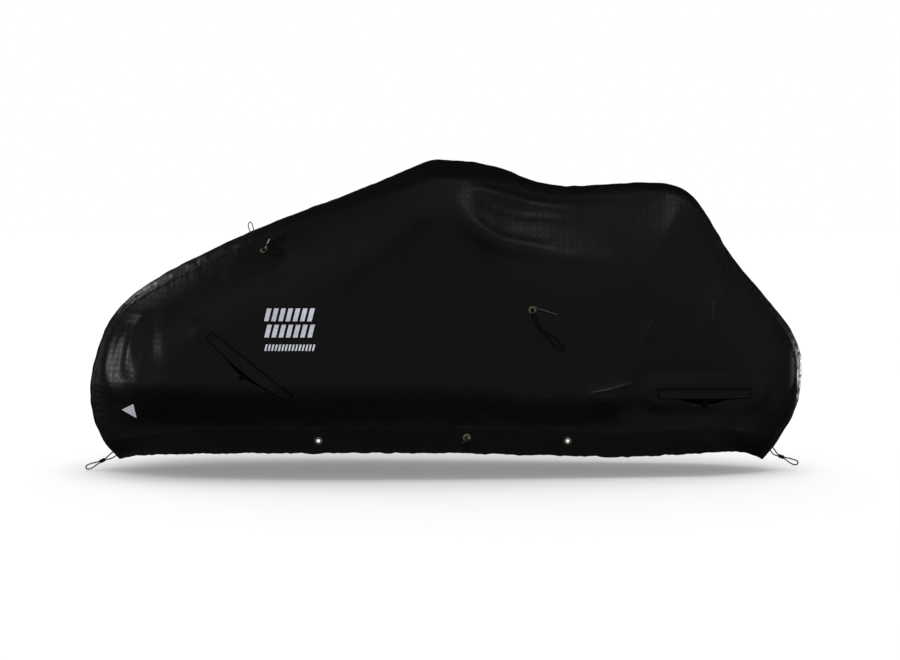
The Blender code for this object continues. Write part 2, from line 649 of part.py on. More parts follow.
def make_flap(cloth, side, sign, row):
    """A lock flap, the slit below it, and the tab sewn to its lower edge."""
    name, x0, z0, x1, z1, width = row
    plane = FLATS[f"flap_{name}"][2]
    frame = surface_frame(plane, (x1 - x0, z1 - z0), sign)
    length = math.hypot(x1 - x0, z1 - z0)
    bottom = CLOTH / 2 + GAP
    flap = add_mesh(f"flap_{name}_{side}", *box_faces(length, width, FLAP_THICKNESS), "coated_cloth")
    flap.matrix_world = frame @ Matrix.Translation((0.0, 0.0, bottom + FLAP_THICKNESS / 2))
    tab = add_mesh(f"tab_{name}_{side}", *box_faces(TAB_WIDTH, TAB_LENGTH, TAB_THICKNESS), "webbing")
    drop = -width / 2 - GAP - TAB_LENGTH / 2
    tab.matrix_world = frame @ Matrix.Translation((TAB_PLACE, drop, bottom + TAB_THICKNESS / 2))

    reach = length / 2 - SLIT_INSET
    top = -width / 2 + SLIT_UNDER
    lens = [(-reach, top), (reach, top)]
    for i in range(SLIT_STEPS - 1, 0, -1):
        t = 2 * i / SLIT_STEPS - 1
        lens.append((reach * t, top - (SLIT_UNDER + SLIT_SAG) * (1 - t * t) ** 1.5))
    cutter = prism(f"cutter_slit_{name}_{side}", lens, CUT_DEPTH)
    cutter.matrix_world = frame
    cut(cloth[f"panel_{side}"], cutter)


def prism(name, outline, depth):
    """A cutter with the given outline, that reaches the given depth each way along Z."""
    points = [Vector((x, y, z)) for z in (-depth, depth) for x, y in outline]
    count = len(outline)
    faces = [tuple(range(count)), tuple(range(count, 2 * count))]
    faces += [(k, (k + 1) % count, (k + 1) % count + count, k + count) for k in range(count)]
    return add_mesh(name, points, faces, None)


def cord_lock(name, middle, along, across, finish):
    """A small barrel lock with one oval hole that takes both strands of a cord."""
    length, width, height = LOCK_SIZE
    along = along.normalized()
    out = along.cross(across).normalized()
    across = out.cross(along)
    frame = Matrix((along, across, out)).transposed().to_4x4()
    frame.translation = middle
    body = add_mesh(name, *box_faces(length, width, height), finish)
    body.matrix_world = frame
    bevel = body.modifiers.new("edges", "BEVEL")
    bevel.width = LOCK_BEVEL
    bevel.segments = 1
    slot_width, slot_height = LOCK_SLOT
    radius = slot_height / 2
    flat = slot_width / 2 - radius
    outline = []
    for centre, first in ((flat, -90), (-flat, 90)):
        for k in range(5):
            angle = math.radians(first + 45 * k)
            outline.append((centre + radius * math.cos(angle), radius * math.sin(angle)))
    cutter = prism(f"cutter_{name}", outline, length)
    lengthwise = Matrix(((0, 0, 1, 0), (1, 0, 0, 0), (0, 1, 0, 0), (0, 0, 0, 1)))
    cutter.matrix_world = frame @ lengthwise
    cut(body, cutter)


def box_faces(length, width, height):
    """The corners and faces of a box about the origin."""
    points = [Vector((x * length / 2, y * width / 2, z * height / 2))
              for x in (-1, 1) for y in (-1, 1) for z in (-1, 1)]
    faces = ((0, 1, 3, 2), (4, 6, 7, 5), (0, 4, 5, 1), (2, 3, 7, 6), (0, 2, 6, 4), (1, 5, 7, 3))
    return points, faces


def toggle_bar(name, frame, start, end):
    """A slim moulded bar that a cord's loop holds at its eyelet."""
    first = frame @ Vector(start)
    last = frame @ Vector(end)
    axis = last - first
    turn = axis.to_track_quat("Z", "Y").to_matrix().to_4x4()
    turn.translation = first
    steps = len(BAR_RADII) - 1
    profile = [(radius, axis.length * k / steps) for k, radius in enumerate(BAR_RADII)]
    lathe(name, profile, turn, "pale_plastic")


def make_eyelet_cords(side, sign):
    """The cords that hang from the eyelets of one side, with their knots, bars and lock."""
    for name, left_route, right_route, bar_start, bar_end in EYELET_CORDS:
        frame = eyelet_frame(name, sign)
        route = left_route if sign < 0 else right_route
        tube(f"cord_{name}_{side}", [frame @ Vector(point) for point in route], "elastic_cord")
        lathe(f"knot_{name}_{side}", KNOT_PROFILE, frame, "elastic_cord")
        toggle_bar(f"bar_{name}_{side}", frame, bar_start, bar_end)
    frame = eyelet_frame("side", sign)
    middle, along = SIDE_LOCK
    turn = frame.to_3x3()
    across = turn @ Vector((along[1], -along[0], 0.0))
    cord_lock(f"lock_side_{side}", frame @ Vector(middle), turn @ Vector(along), across, "lock_plastic")


def make_drawcords():
    """The cords that draw in the hem at the nose and the tail, each with its lock."""
    for name, route, lock in (("nose", NOSE_CORD, NOSE_LOCK), ("tail", TAIL_CORD, TAIL_LOCK)):
        tube(f"cord_{name}", [(x, DRAWCORD_Y, z) for x, z in route], "elastic_cord")
        (x, z), (ax, az) = lock
        cord_lock(f"lock_{name}", Vector((x, DRAWCORD_Y, z)), Vector((ax, 0.0, az)),
                  Vector((-az, 0.0, ax)), "lock_plastic")


def build():
    clear_scene()
    cloth = make_cloth()
    for side, sign in (("left", -1), ("right", 1)):
        make_eyelets(cloth, side, sign)
        for row in FLAPS:
            make_flap(cloth, side, sign, row)
        make_eyelet_cords(side, sign)
    make_drawcords()


build()
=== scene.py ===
"""The looks of a fitted weather cover: coated ripstop cloth, brass eyelets and elastic cords.

Metres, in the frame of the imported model: X from the cover's nose to its tail, its left side at -Y,
Z up. Each section below makes one piece, or one group of like pieces, of the cover.
"""

import math

import bmesh
import bpy
import numpy as np
from mathutils import Matrix, Vector
from mathutils.bvhtree import BVHTree


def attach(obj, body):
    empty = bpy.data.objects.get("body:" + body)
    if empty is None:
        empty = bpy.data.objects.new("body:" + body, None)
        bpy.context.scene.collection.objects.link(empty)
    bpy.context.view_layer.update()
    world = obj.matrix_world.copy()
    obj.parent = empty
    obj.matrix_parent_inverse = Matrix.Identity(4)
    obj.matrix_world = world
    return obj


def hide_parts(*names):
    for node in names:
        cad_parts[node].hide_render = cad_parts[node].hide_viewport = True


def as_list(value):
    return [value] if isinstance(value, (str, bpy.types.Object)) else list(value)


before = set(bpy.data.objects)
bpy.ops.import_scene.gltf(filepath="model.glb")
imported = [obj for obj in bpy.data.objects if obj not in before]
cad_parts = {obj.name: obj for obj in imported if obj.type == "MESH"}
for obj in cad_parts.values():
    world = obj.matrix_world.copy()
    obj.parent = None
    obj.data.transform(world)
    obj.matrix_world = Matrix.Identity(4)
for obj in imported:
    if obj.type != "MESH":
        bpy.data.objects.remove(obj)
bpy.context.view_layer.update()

# ---- camera, floor and light ---------------------------------------------------------------------
# The cover is seen square on from its left side, from 7 m away and 4.5 degrees above level, over a
# pale floor. A white dome lights it evenly, and small softboxes draw its highlights at both ends.

VIEW_TARGET = Vector((0.036, 0.0, -0.605))
VIEW_DISTANCE = 7.0
VIEW_TILT = math.radians(4.5)
SENSOR_WIDTH = 36.0
IMAGE_WIDTH = 900
PIXELS_PER_METRE = 279.0
FLOOR_Z = -1.111

view = bpy.data.cameras.new("camera")
view.sensor_width = SENSOR_WIDTH
view.lens = PIXELS_PER_METRE * VIEW_DISTANCE / IMAGE_WIDTH * SENSOR_WIDTH
camera = bpy.data.objects.new("camera", view)
camera.location = VIEW_TARGET + VIEW_DISTANCE * Vector((0.0, -math.cos(VIEW_TILT), math.sin(VIEW_TILT)))
camera.rotation_euler = (math.radians(90.0) - VIEW_TILT, 0.0, 0.0)
bpy.context.scene.collection.objects.link(camera)
bpy.context.scene.camera = camera
bpy.context.scene.view_settings.view_transform = "Standard"


def node(tree, kind, inputs=(), **settings):
    """A new node: its settings, then its inputs, each linked to an output or given a value."""
    made = tree.nodes.new(kind)
    for name, value in settings.items():
        setattr(made, name, value)
    for name, source in dict(inputs).items():
        if isinstance(source, bpy.types.NodeSocket):
            tree.links.new(source, made.inputs[name])
        else:
            made.inputs[name].default_value = source
    return made


def ranged(tree, value, source=(0.0, 1.0), target=(0.0, 1.0), way="LINEAR"):
    """A value taken from one range to another in a node tree."""
    inputs = {"Value": value, "From Min": source[0], "From Max": source[1], "To Min": target[0],
              "To Max": target[1]}
    return node(tree, "ShaderNodeMapRange", inputs, interpolation_type=way).outputs["Result"]


def softbox(name, place, aim, size, power):
    """A rectangular studio light at a place, turned to what it lights."""
    data = bpy.data.lights.new(name, "AREA")
    data.shape = "RECTANGLE"
    data.size, data.size_y = size
    data.energy = power
    light = bpy.data.objects.new(name, data)
    light.location = place
    light.rotation_euler = (Vector(aim) - Vector(place)).to_track_quat("-Z", "Y").to_euler()
    light.visible_camera = False
    bpy.context.scene.collection.objects.link(light)


FLOOR_SIZE = 60.0
FLOOR_COLOUR = (0.36, 0.36, 0.36, 1.0)
FLOOR_GLOW = 0.24           # light that the room throws back onto the floor, shadows included
SKY_STRENGTH = 3.1          # the overhead light, which falls evenly on the whole floor
DOME_ABOVE, DOME_BELOW = 1.20, 0.22
DOME_GLOSS = 0.13           # how bright the dome's front is in the cloth's sheen
REAR_GLOSS, LOW_GLOSS = 0.008, 0.020
SKY_ANGLE = math.radians(50.0)
SKY_TILT = math.radians(4.0)

floor_mesh = bpy.data.meshes.new("floor")
half = FLOOR_SIZE / 2
floor_mesh.from_pydata([(-half, -half, FLOOR_Z), (half, -half, FLOOR_Z), (half, half, FLOOR_Z),
                        (-half, half, FLOOR_Z)], [], [(0, 1, 2, 3)])
floor = bpy.data.objects.new("floor", floor_mesh)
bpy.context.scene.collection.objects.link(floor)
floor_paint = bpy.data.materials.new("pale_floor")
floor_paint.use_nodes = True
paint = floor_paint.node_tree.nodes["Principled BSDF"]
paint.inputs["Base Color"].default_value = FLOOR_COLOUR
paint.inputs["Roughness"].default_value = 0.9
paint.inputs["Specular IOR Level"].default_value = 0.0
paint.inputs["Emission Color"].default_value = (1.0, 1.0, 1.0, 1.0)
paint.inputs["Emission Strength"].default_value = FLOOR_GLOW
floor_mesh.materials.append(floor_paint)
floor.visible_glossy = False
floor.visible_diffuse = False

sky = bpy.data.lights.new("overhead", "SUN")
sky.energy = SKY_STRENGTH
sky.angle = SKY_ANGLE
overhead = bpy.data.objects.new("overhead", sky)
overhead.rotation_euler = (SKY_TILT, SKY_TILT, 0.0)
bpy.context.scene.collection.objects.link(overhead)
floor_alone = bpy.data.collections.new("floor_alone")
floor_alone.objects.link(floor)
overhead.light_linking.receiver_collection = floor_alone

SOFTBOXES = (
    # name, place, what it is turned to, width and height, power
    ("softbox_front", (2.76, -1.72, 3.29), (0.24, -0.25, -0.15), (0.7, 0.5), 5.8),
    ("softbox_nose", (-3.45, 0.05, -0.41), (-1.1, 0.0, -0.65), (0.4, 0.3), 5.5),
    ("softbox_nose_rim", (-3.2, 2.6, 1.3), (-0.9, 0.0, -0.4), (0.4, 0.4), 7.5),
    ("softbox_tail_rim", (3.69, 2.01, -0.94), (1.28, 0.0, -0.75), (0.15, 0.5), 38.0),
)
for row in SOFTBOXES:
    softbox(*row)

room = bpy.data.worlds.new("room")
bpy.context.scene.world = room
room.use_nodes = True
room_tree = room.node_tree
room_tree.nodes.clear()
ray = node(room_tree, "ShaderNodeLightPath")
towards = node(room_tree, "ShaderNodeTexCoord")
upwards = node(room_tree, "ShaderNodeSeparateXYZ", {0: towards.outputs["Generated"]})
above = ranged(room_tree, upwards.outputs["Z"], (-0.08, 0.08), (DOME_BELOW, DOME_ABOVE))
dome = node(room_tree, "ShaderNodeBackground", {"Strength": above})
front = ranged(room_tree, upwards.outputs["Y"], (0.35, -0.35), (REAR_GLOSS, DOME_GLOSS))
sheen = ranged(room_tree, upwards.outputs["Z"], (-0.85, -0.20), (LOW_GLOSS, front))
dim = node(room_tree, "ShaderNodeBackground", {"Strength": sheen})
white = node(room_tree, "ShaderNodeBackground", {"Strength": 1.0})
for shown in (dome, dim, white):
    shown.inputs["Color"].default_value = (1.0, 1.0, 1.0, 1.0)
lit = node(room_tree, "ShaderNodeMixShader", {0: ray.outputs["Is Diffuse Ray"], 1: dim.outputs[0],
                                              2: dome.outputs[0]})
seen = node(room_tree, "ShaderNodeMixShader", {0: ray.outputs["Is Camera Ray"], 1: lit.outputs[0],
                                               2: white.outputs[0]})
node(room_tree, "ShaderNodeOutputWorld", {"Surface": seen.outputs[0]})

# ---- elastic cords -------------------------------------------------------------------------------
# Shock cord of rubber strands in a braided black polyester sleeve, 3.5 mm across. Each one leaves
# its eyelet, or the hem's end, makes a loop, and goes back in, where a knot holds it.

CORD = 0.0035               # diameter
CORD_STEP = 0.0010          # spacing of the sleeve's rings along the cord
CORD_AROUND = 24
BRAID_STRANDS = 4           # yarns that run each way round the sleeve
BRAID_PITCH = 0.0110        # one yarn's turn round the cord takes this length
BRAID_RELIEF = 0.00014
DRAW_CORD = 0.0046          # diameter of the thicker cords at the nose and the tail
DRAWCORD_Y = -0.012
# Cords of the nose and the tail: x and z of their points, which lie near the middle plane.
NOSE_CORD = (
    (-1.1715, -1.0396), (-1.1900, -1.0555), (-1.2042, -1.0675), (-1.2150, -1.0728),
    (-1.2258, -1.0781), (-1.2460, -1.0835), (-1.2640, -1.0890), (-1.2735, -1.0960),
    (-1.2715, -1.1040), (-1.2640, -1.1060), (-1.2500, -1.1010), (-1.2370, -1.0915),
    (-1.2238, -1.0825), (-1.2130, -1.0772), (-1.2022, -1.0719), (-1.1860, -1.0685),
    (-1.1700, -1.0605), (-1.1592, -1.0519),
)
TAIL_CORD = (
    (1.1934, -1.0232), (1.2060, -1.0400), (1.2168, -1.0537), (1.2279, -1.0583),
    (1.2390, -1.0629), (1.2600, -1.0680), (1.2790, -1.0735), (1.2875, -1.0800),
    (1.2845, -1.0880), (1.2740, -1.0900), (1.2560, -1.0810), (1.2372, -1.0673),
    (1.2261, -1.0627), (1.2150, -1.0581), (1.2010, -1.0530), (1.1920, -1.0440),
    (1.1857, -1.0336),
)
# Cords of the eyelets: points to the right, up and out from each eyelet's middle.
BOW_CORD = (
    (-0.0021, -0.0015, -0.0008), (-0.0022, -0.0015, 0.0040), (-0.0010, 0.0010, 0.0095),
    (0.0080, 0.0130, 0.0110), (0.0250, 0.0340, 0.0085), (0.0420, 0.0530, 0.0060),
    (0.0560, 0.0640, 0.0050), (0.0630, 0.0590, 0.0055), (0.0580, 0.0460, 0.0060),
    (0.0420, 0.0290, 0.0080), (0.0260, 0.0130, 0.0120), (0.0230, 0.0040, 0.0130),
    (0.0330, 0.0020, 0.0100), (0.0520, 0.0040, 0.0070), (0.0720, 0.0010, 0.0060),
    (0.0830, -0.0080, 0.0050), (0.0800, -0.0200, 0.0050), (0.0640, -0.0240, 0.0050),
    (0.0430, -0.0210, 0.0060), (0.0240, -0.0150, 0.0080), (0.0100, -0.0070, 0.0095),
    (0.0030, -0.0020, 0.0070), (0.0021, -0.0015, 0.0035), (0.0021, -0.0015, -0.0008),
)
# The right side's bow cord lies the other way and stands up past the gusset.
FAR_BOW_CORD = (
    (-0.0021, -0.0020, -0.0003), (-0.0022, -0.0020, 0.0050), (-0.0070, -0.0025, 0.0100),
    (-0.0200, 0.0000, 0.0140), (-0.0400, 0.0060, 0.0210), (-0.0620, 0.0130, 0.0310),
    (-0.0800, 0.0200, 0.0430), (-0.0905, 0.0260, 0.0510), (-0.0950, 0.0350, 0.0616),
    (-0.0962, 0.0420, 0.0693), (-0.0928, 0.0485, 0.0728), (-0.0880, 0.0520, 0.0722),
    (-0.0843, 0.0490, 0.0672), (-0.0815, 0.0430, 0.0595), (-0.0780, 0.0333, 0.0483),
    (-0.0700, 0.0260, 0.0380), (-0.0560, 0.0190, 0.0290), (-0.0380, 0.0130, 0.0215),
    (-0.0200, 0.0080, 0.0160), (-0.0060, 0.0035, 0.0125), (0.0010, 0.0005, 0.0090),
    (0.0021, -0.0010, 0.0045), (0.0021, -0.0010, -0.0003),
)
SIDE_CORD = (
    (-0.0021, 0.0000, -0.0003), (-0.0023, -0.0010, 0.0045), (-0.0020, -0.0070, 0.0080),
    (0.0000, -0.0200, 0.0065), (0.0060, -0.0390, 0.0065), (0.0130, -0.0520, 0.0070),
    (0.0218, -0.0618, 0.0080), (0.0306, -0.0700, 0.0080), (0.0393, -0.0782, 0.0080),
    (0.0560, -0.0990, 0.0060), (0.0780, -0.1230, 0.0050), (0.0960, -0.1390, 0.0045),
    (0.1060, -0.1420, 0.0045), (0.1100, -0.1330, 0.0045), (0.1000, -0.1180, 0.0050),
    (0.0790, -0.0960, 0.0060), (0.0600, -0.0860, 0.0070), (0.0422, -0.0752, 0.0080),
    (0.0334, -0.0670, 0.0080), (0.0247, -0.0588, 0.0080), (0.0190, -0.0460, 0.0070),
    (0.0150, -0.0280, 0.0065), (0.0080, -0.0120, 0.0075), (0.0030, -0.0030, 0.0065),
    (0.0021, 0.0000, -0.0003),
)
HEM_CORD = (
    (-0.0021, 0.0000, -0.0008), (-0.0021, 0.0010, 0.0050), (-0.0026, -0.0030, 0.0102),
    (-0.0040, -0.0120, 0.0112), (-0.0045, -0.0240, 0.0080), (-0.0020, -0.0390, 0.0050),
    (0.0040, -0.0470, 0.0050), (0.0105, -0.0450, 0.0050), (0.0110, -0.0350, 0.0055),
    (0.0070, -0.0230, 0.0085), (0.0040, -0.0120, 0.0112), (0.0026, -0.0030, 0.0102),
    (0.0021, 0.0010, 0.0050), (0.0021, 0.0000, -0.0008),
)
# Where an eyelet lies on the left side: x, z, half the cover's width there, and the cloth's slopes.
EYELET_PLACES = {
    "bow": (-0.608, -0.310, 0.214757, 0.530491, -1.023140),
    "side": (0.319, -0.514, 0.285929, -0.086267, -0.012174),
    "hem_front": (-0.419, -0.968, 0.274539, 0.020265, 0.0),
    "hem_middle": (0.094, -0.959, 0.257649, -0.074117, 0.0),
    "hem_rear": (0.446, -0.975, 0.225389, -0.097451, 0.0),
}
SIDES = (("left", -1), ("right", 1))


def curve_through(points, steps):
    """A smooth curve through every point, with some steps from each point to the next."""
    p = np.array(points, dtype=float)
    padded = np.vstack((2 * p[0] - p[1], p, 2 * p[-1] - p[-2]))
    t = np.linspace(0.0, 1.0, steps, endpoint=False)[:, None]
    spans = []
    for a, b, c, d in zip(padded, padded[1:], padded[2:], padded[3:]):
        bend = (2 * a - 5 * b + 4 * c - d) * t ** 2 + (3 * b - a - 3 * c + d) * t ** 3
        spans.append(0.5 * (2 * b + (c - a) * t + bend))
    return np.vstack(spans + [p[-1:]])


def run_of(curve):
    """The length along a curve at each of its points."""
    return np.concatenate(([0.0], np.cumsum(np.linalg.norm(np.diff(curve, axis=0), axis=1))))


def at_lengths(curve, lengths, run):
    """The points of a curve at the given lengths along it."""
    return np.stack([np.interp(lengths, run, curve[:, k]) for k in range(curve.shape[1])], axis=1)


def frame_on(place, along, side):
    """A frame on the cloth: its axes run along a direction of the side view, up and out."""
    x, z, width, slope_x, slope_z = place
    out = Vector((-slope_x, -1.0, -slope_z)).normalized()
    right = Vector((along[0], -slope_x * along[0] - slope_z * along[1], along[1])).normalized()
    made = Matrix((right, out.cross(right), out)).transposed().to_4x4()
    made.translation = Vector((x, -width, z))
    return Matrix.Diagonal((1.0, -side, 1.0, 1.0)) @ made


def eyelet_frame(name, side):
    return frame_on(EYELET_PLACES[name], (1.0, 0.0), side)


def new_piece(name, points, faces, *finishes, edges=()):
    """A piece of the cover from points and faces, or edges, smooth, with its materials."""
    data = bpy.data.meshes.new(name)
    data.from_pydata([tuple(point) for point in points], edges, faces)
    data.shade_smooth()
    for finish in finishes:
        data.materials.append(finish)
    piece = bpy.data.objects.new(name, data)
    bpy.context.scene.collection.objects.link(piece)
    return piece


def fit(piece, slot_name, *node_names):
    """The piece rides on the cover and stands for its CAD node, which is hidden; its slot name is not used.
    """
    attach(piece, "root")
    if node_names:
        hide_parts(*node_names)
    return piece


def turn_outwards(data):
    """Turn the faces of a closed mesh outwards."""
    shape = bmesh.new()
    shape.from_mesh(data)
    bmesh.ops.recalc_face_normals(shape, faces=shape.faces)
    if shape.calc_volume(signed=True) < 0:
        bmesh.ops.reverse_faces(shape, faces=shape.faces)
    shape.to_mesh(data)
    shape.free()


def new_finish(name, colour, roughness, metallic=0.0, specular=0.5):
    """A material with its shader set, its node tree and that shader."""
    finish = bpy.data.materials.new(name)
    finish.use_nodes = True
    shader = finish.node_tree.nodes["Principled BSDF"]
    shader.inputs["Base Color"].default_value = (*colour, 1.0)
    shader.inputs["Roughness"].default_value = roughness
    shader.inputs["Metallic"].default_value = metallic
    shader.inputs["Specular IOR Level"].default_value = specular
    return finish, finish.node_tree, shader


def noise(tree, place, scale, detail, **more):
    return node(tree, "ShaderNodeTexNoise", {"Vector": place, "Scale": scale, "Detail": detail,
                                             **more}).outputs["Fac"]


def bump(tree, height, distance, strength, **under):
    """The normals of a surface with this relief, over those of the relief under it."""
    return node(tree, "ShaderNodeBump", {"Height": height, "Distance": distance, "Strength": strength,
                                         **under}).outputs["Normal"]


def tones(tree, share, dark, light, stops=(0.0, 1.0)):
    """A colour between a dark and a light one."""
    ramp = node(tree, "ShaderNodeValToRGB", {"Fac": share})
    for element, stop, colour in zip(ramp.color_ramp.elements, stops, (dark, light)):
        element.position = stop
        element.color = (*colour, 1.0)
    return ramp.outputs["Color"]


def object_place(tree):
    return node(tree, "ShaderNodeTexCoord").outputs["Object"]


def map_place(tree):
    return node(tree, "ShaderNodeUVMap", uv_map="UVMap").outputs["UV"]


def mesh_value(tree, name):
    return node(tree, "ShaderNodeAttribute", attribute_name=name).outputs["Fac"]


def connect(tree, shader, **sources):
    """Link what the shader's inputs take, each by its name with _ for a space."""
    for name, source in sources.items():
        tree.links.new(source, shader.inputs[name.replace("_", " ")])


def node_tree(name, sizes):
    """A Geometry Nodes tree with named inputs for its sizes, and its input node."""
    tree = bpy.data.node_groups.new(name, "GeometryNodeTree")
    tree.interface.new_socket("Geometry", in_out="INPUT", socket_type="NodeSocketGeometry")
    for label, value in sizes.items():
        kind = {float: "NodeSocketFloat", int: "NodeSocketInt"}.get(type(value), "NodeSocketMaterial")
        socket = tree.interface.new_socket(label, in_out="INPUT", socket_type=kind)
        if kind != "NodeSocketMaterial":
            socket.default_value = value
    tree.interface.new_socket("Geometry", in_out="OUTPUT", socket_type="NodeSocketGeometry")
    return tree, node(tree, "NodeGroupInput")


def even_line(tree, sizes, spacing):
    """The curve of a line of edges in a tree, with its points at the even spacing of this name."""
    line = node(tree, "GeometryNodeMeshToCurve", {"Mesh": sizes.outputs["Geometry"]})
    even = {"Curve": line.outputs[0], "Length": sizes.outputs[spacing]}
    return node(tree, "GeometryNodeResampleCurve", even, mode="LENGTH").outputs[0]


def captured(tree, geometry, label, value):
    """A node that keeps a value on each point of a geometry."""
    kept = tree.nodes.new("GeometryNodeCaptureAttribute")
    kept.capture_items.new("FLOAT", label)
    tree.links.new(geometry, kept.inputs["Geometry"])
    tree.links.new(value, kept.inputs[label])
    return kept


def end_tree(tree, geometry, finish):
    """Close a tree with Realize Instances and Set Material."""
    plain = node(tree, "GeometryNodeRealizeInstances", {0: geometry})
    smooth = node(tree, "GeometryNodeSetShadeSmooth", {"Geometry": plain.outputs[0]})
    painted = node(tree, "GeometryNodeSetMaterial", {"Geometry": smooth.outputs[0], "Material": finish})
    node(tree, "NodeGroupOutput", {0: painted.outputs[0]})


def keep_result(piece, run):
    """Keep a modifier's result as the piece's plain mesh."""
    graph = bpy.context.evaluated_depsgraph_get()
    made = bpy.data.meshes.new_from_object(piece.evaluated_get(graph), preserve_all_data_layers=True,
                                           depsgraph=graph)
    piece.modifiers.remove(run)
    piece.data = made
    made.name = piece.name
    return piece


def apply_tree(piece, tree, sizes):
    """Run a tree on a piece with these sizes."""
    run = piece.modifiers.new("nodes", "NODES")
    run.node_group = tree
    for item in tree.interface.items_tree:
        if item.item_type == "SOCKET" and item.in_out == "INPUT" and item.name in sizes:
            run[item.identifier] = sizes[item.name]
    return keep_result(piece, run)


def calc(tree, operation, first, second=0.0):
    """The output of a sum in a node tree."""
    return node(tree, "ShaderNodeMath", {0: first, 1: second}, operation=operation).outputs[0]


def vector_calc(tree, operation, first, second):
    """The output of a sum of vectors in a node tree: a vector, or a value."""
    into = "Scale" if operation == "SCALE" else 1
    made = node(tree, "ShaderNodeVectorMath", {0: first, into: second}, operation=operation)
    return made.outputs["Value" if operation in ("DOT_PRODUCT", "DISTANCE") else "Vector"]


# Painted shade: the sleeve's colour darkens in the sunken valleys between its yarns, following the braid's
# relief.
braided, tree, shader = new_finish("braided_sleeve", (0.004, 0.004, 0.004), 0.70, specular=0.14)
connect(tree, shader,
        Base_Color=tones(tree, mesh_value(tree, "braid"), (0.0010, 0.0010, 0.0010),
                         (0.0060, 0.0060, 0.0064)),
        Normal=bump(tree, noise(tree, object_place(tree), 2600.0, 2.0), 0.00008, 0.7))

braid_sizes = {"Diameter": CORD, "Step": CORD_STEP, "Around": CORD_AROUND, "Strands": BRAID_STRANDS,
               "Pitch": BRAID_PITCH, "Relief": BRAID_RELIEF, "Finish": braided}
braid, sizes = node_tree("braid_a_cord", braid_sizes)
along = node(braid, "GeometryNodeSplineParameter")
keep_length = captured(braid, even_line(braid, sizes, "Step"), "length", along.outputs["Length"])
radius = calc(braid, "DIVIDE", sizes.outputs["Diameter"], 2.0)
ring = node(braid, "GeometryNodeCurvePrimitiveCircle", {"Resolution": sizes.outputs["Around"],
                                                        "Radius": radius})
keep_turn = captured(braid, ring.outputs["Curve"], "turn", along.outputs["Factor"])
skin = node(braid, "GeometryNodeCurveToMesh", {"Curve": keep_length.outputs["Geometry"],
                                               "Profile Curve": keep_turn.outputs["Geometry"],
                                               "Fill Caps": True})
round_it = calc(braid, "MULTIPLY", keep_turn.outputs["turn"], 2.0 * math.pi)
round_it = calc(braid, "MULTIPLY", round_it, sizes.outputs["Strands"])
onward = calc(braid, "DIVIDE", keep_length.outputs["length"], sizes.outputs["Pitch"])
onward = calc(braid, "MULTIPLY", calc(braid, "MULTIPLY", onward, 2.0 * math.pi), sizes.outputs["Strands"])
one_way = calc(braid, "SINE", calc(braid, "ADD", round_it, onward))
other_way = calc(braid, "SINE", calc(braid, "SUBTRACT", round_it, onward))
bulge = calc(braid, "MULTIPLY", calc(braid, "ADD", calc(braid, "MULTIPLY", one_way, other_way), 1.0), 0.5)
outward = node(braid, "GeometryNodeInputNormal")
sunk = calc(braid, "MULTIPLY", calc(braid, "SUBTRACT", bulge, 1.0), sizes.outputs["Relief"])
push = vector_calc(braid, "SCALE", outward.outputs[0], sunk)
moved = node(braid, "GeometryNodeSetPosition", {"Geometry": skin.outputs[0], "Offset": push})
# The relief is stored as 'braid' for the painted shade of the valleys.
stored = node(braid, "GeometryNodeStoreNamedAttribute", {"Geometry": moved.outputs[0], "Name": "braid",
                                                         "Value": bulge}, data_type="FLOAT")
end_tree(braid, stored.outputs[0], sizes.outputs["Finish"])


def braided_cord(name, points, diameter=CORD):
    """A cord through the given points: its braided mesh and the line that it follows."""
    smooth = curve_through(points, 12)
    host = new_piece(name, smooth, [], edges=[(k, k + 1) for k in range(len(smooth) - 1)])
    return apply_tree(host, braid, {**braid_sizes, "Diameter": diameter}), smooth


cords = {}
for end, points in (("nose", NOSE_CORD), ("tail", TAIL_CORD)):
    cords[end] = braided_cord(f"elastic_{end}", [(x, DRAWCORD_Y, z) for x, z in points], DRAW_CORD)
for side, sign in SIDES:
    for name, points in (("bow", BOW_CORD if sign < 0 else FAR_BOW_CORD), ("side", SIDE_CORD),
                         ("hem_middle", HEM_CORD)):
        places = [eyelet_frame(name, sign) @ Vector(point) for point in points]
        cords[f"{name}_{side}"] = braided_cord(f"elastic_{name}_{side}", places)

# ---- side panels and hem facings -----------------------------------------------------------------
# Each side is one panel of black polyurethane-coated ripstop polyester, cut to the side view's shape
# and eased to the gusset. It hangs in folds from the highest point. A facing strip of the same cloth,
# 85 mm deep, is turned up along the hem and stitched down, and holds three eyelets.

CLOTH = 0.002               # thickness
GAP = 0.0003                # the seams' clearance
TOP_OF_MOUNT = 0.001
# The cover's edge in the side view, from the front corner of the hem over the top to the rear one.
OUTLINE = (
    (-1.149, -1.063), (-1.206, -1.002), (-1.241, -0.930), (-1.254, -0.839), (-1.250, -0.770),
    (-1.220, -0.660), (-1.180, -0.570), (-1.117, -0.497), (-1.040, -0.438), (-0.940, -0.381),
    (-0.735, -0.281), (-0.520, -0.192), (-0.303, -0.112), (-0.142, -0.044), (-0.040, -0.004),
    (0.018, 0.000), (0.120, -0.008), (0.232, -0.033), (0.335, -0.074), (0.450, -0.092),
    (0.606, -0.084), (0.740, -0.080), (0.820, -0.087), (0.880, -0.112), (0.930, -0.163),
    (0.982, -0.247), (1.037, -0.337), (1.145, -0.465), (1.240, -0.582), (1.286, -0.672),
    (1.297, -0.760), (1.275, -0.890), (1.210, -1.002), (1.158, -1.066),
)
HEM = (
    (-1.149, -1.063), (-1.080, -1.043), (-0.980, -1.030), (-0.815, -1.018), (-0.485, -1.012),
    (-0.035, -1.012), (0.210, -1.019), (0.420, -1.027), (0.640, -1.034), (0.850, -1.029),
    (0.990, -1.022), (1.080, -1.032), (1.158, -1.066),
)
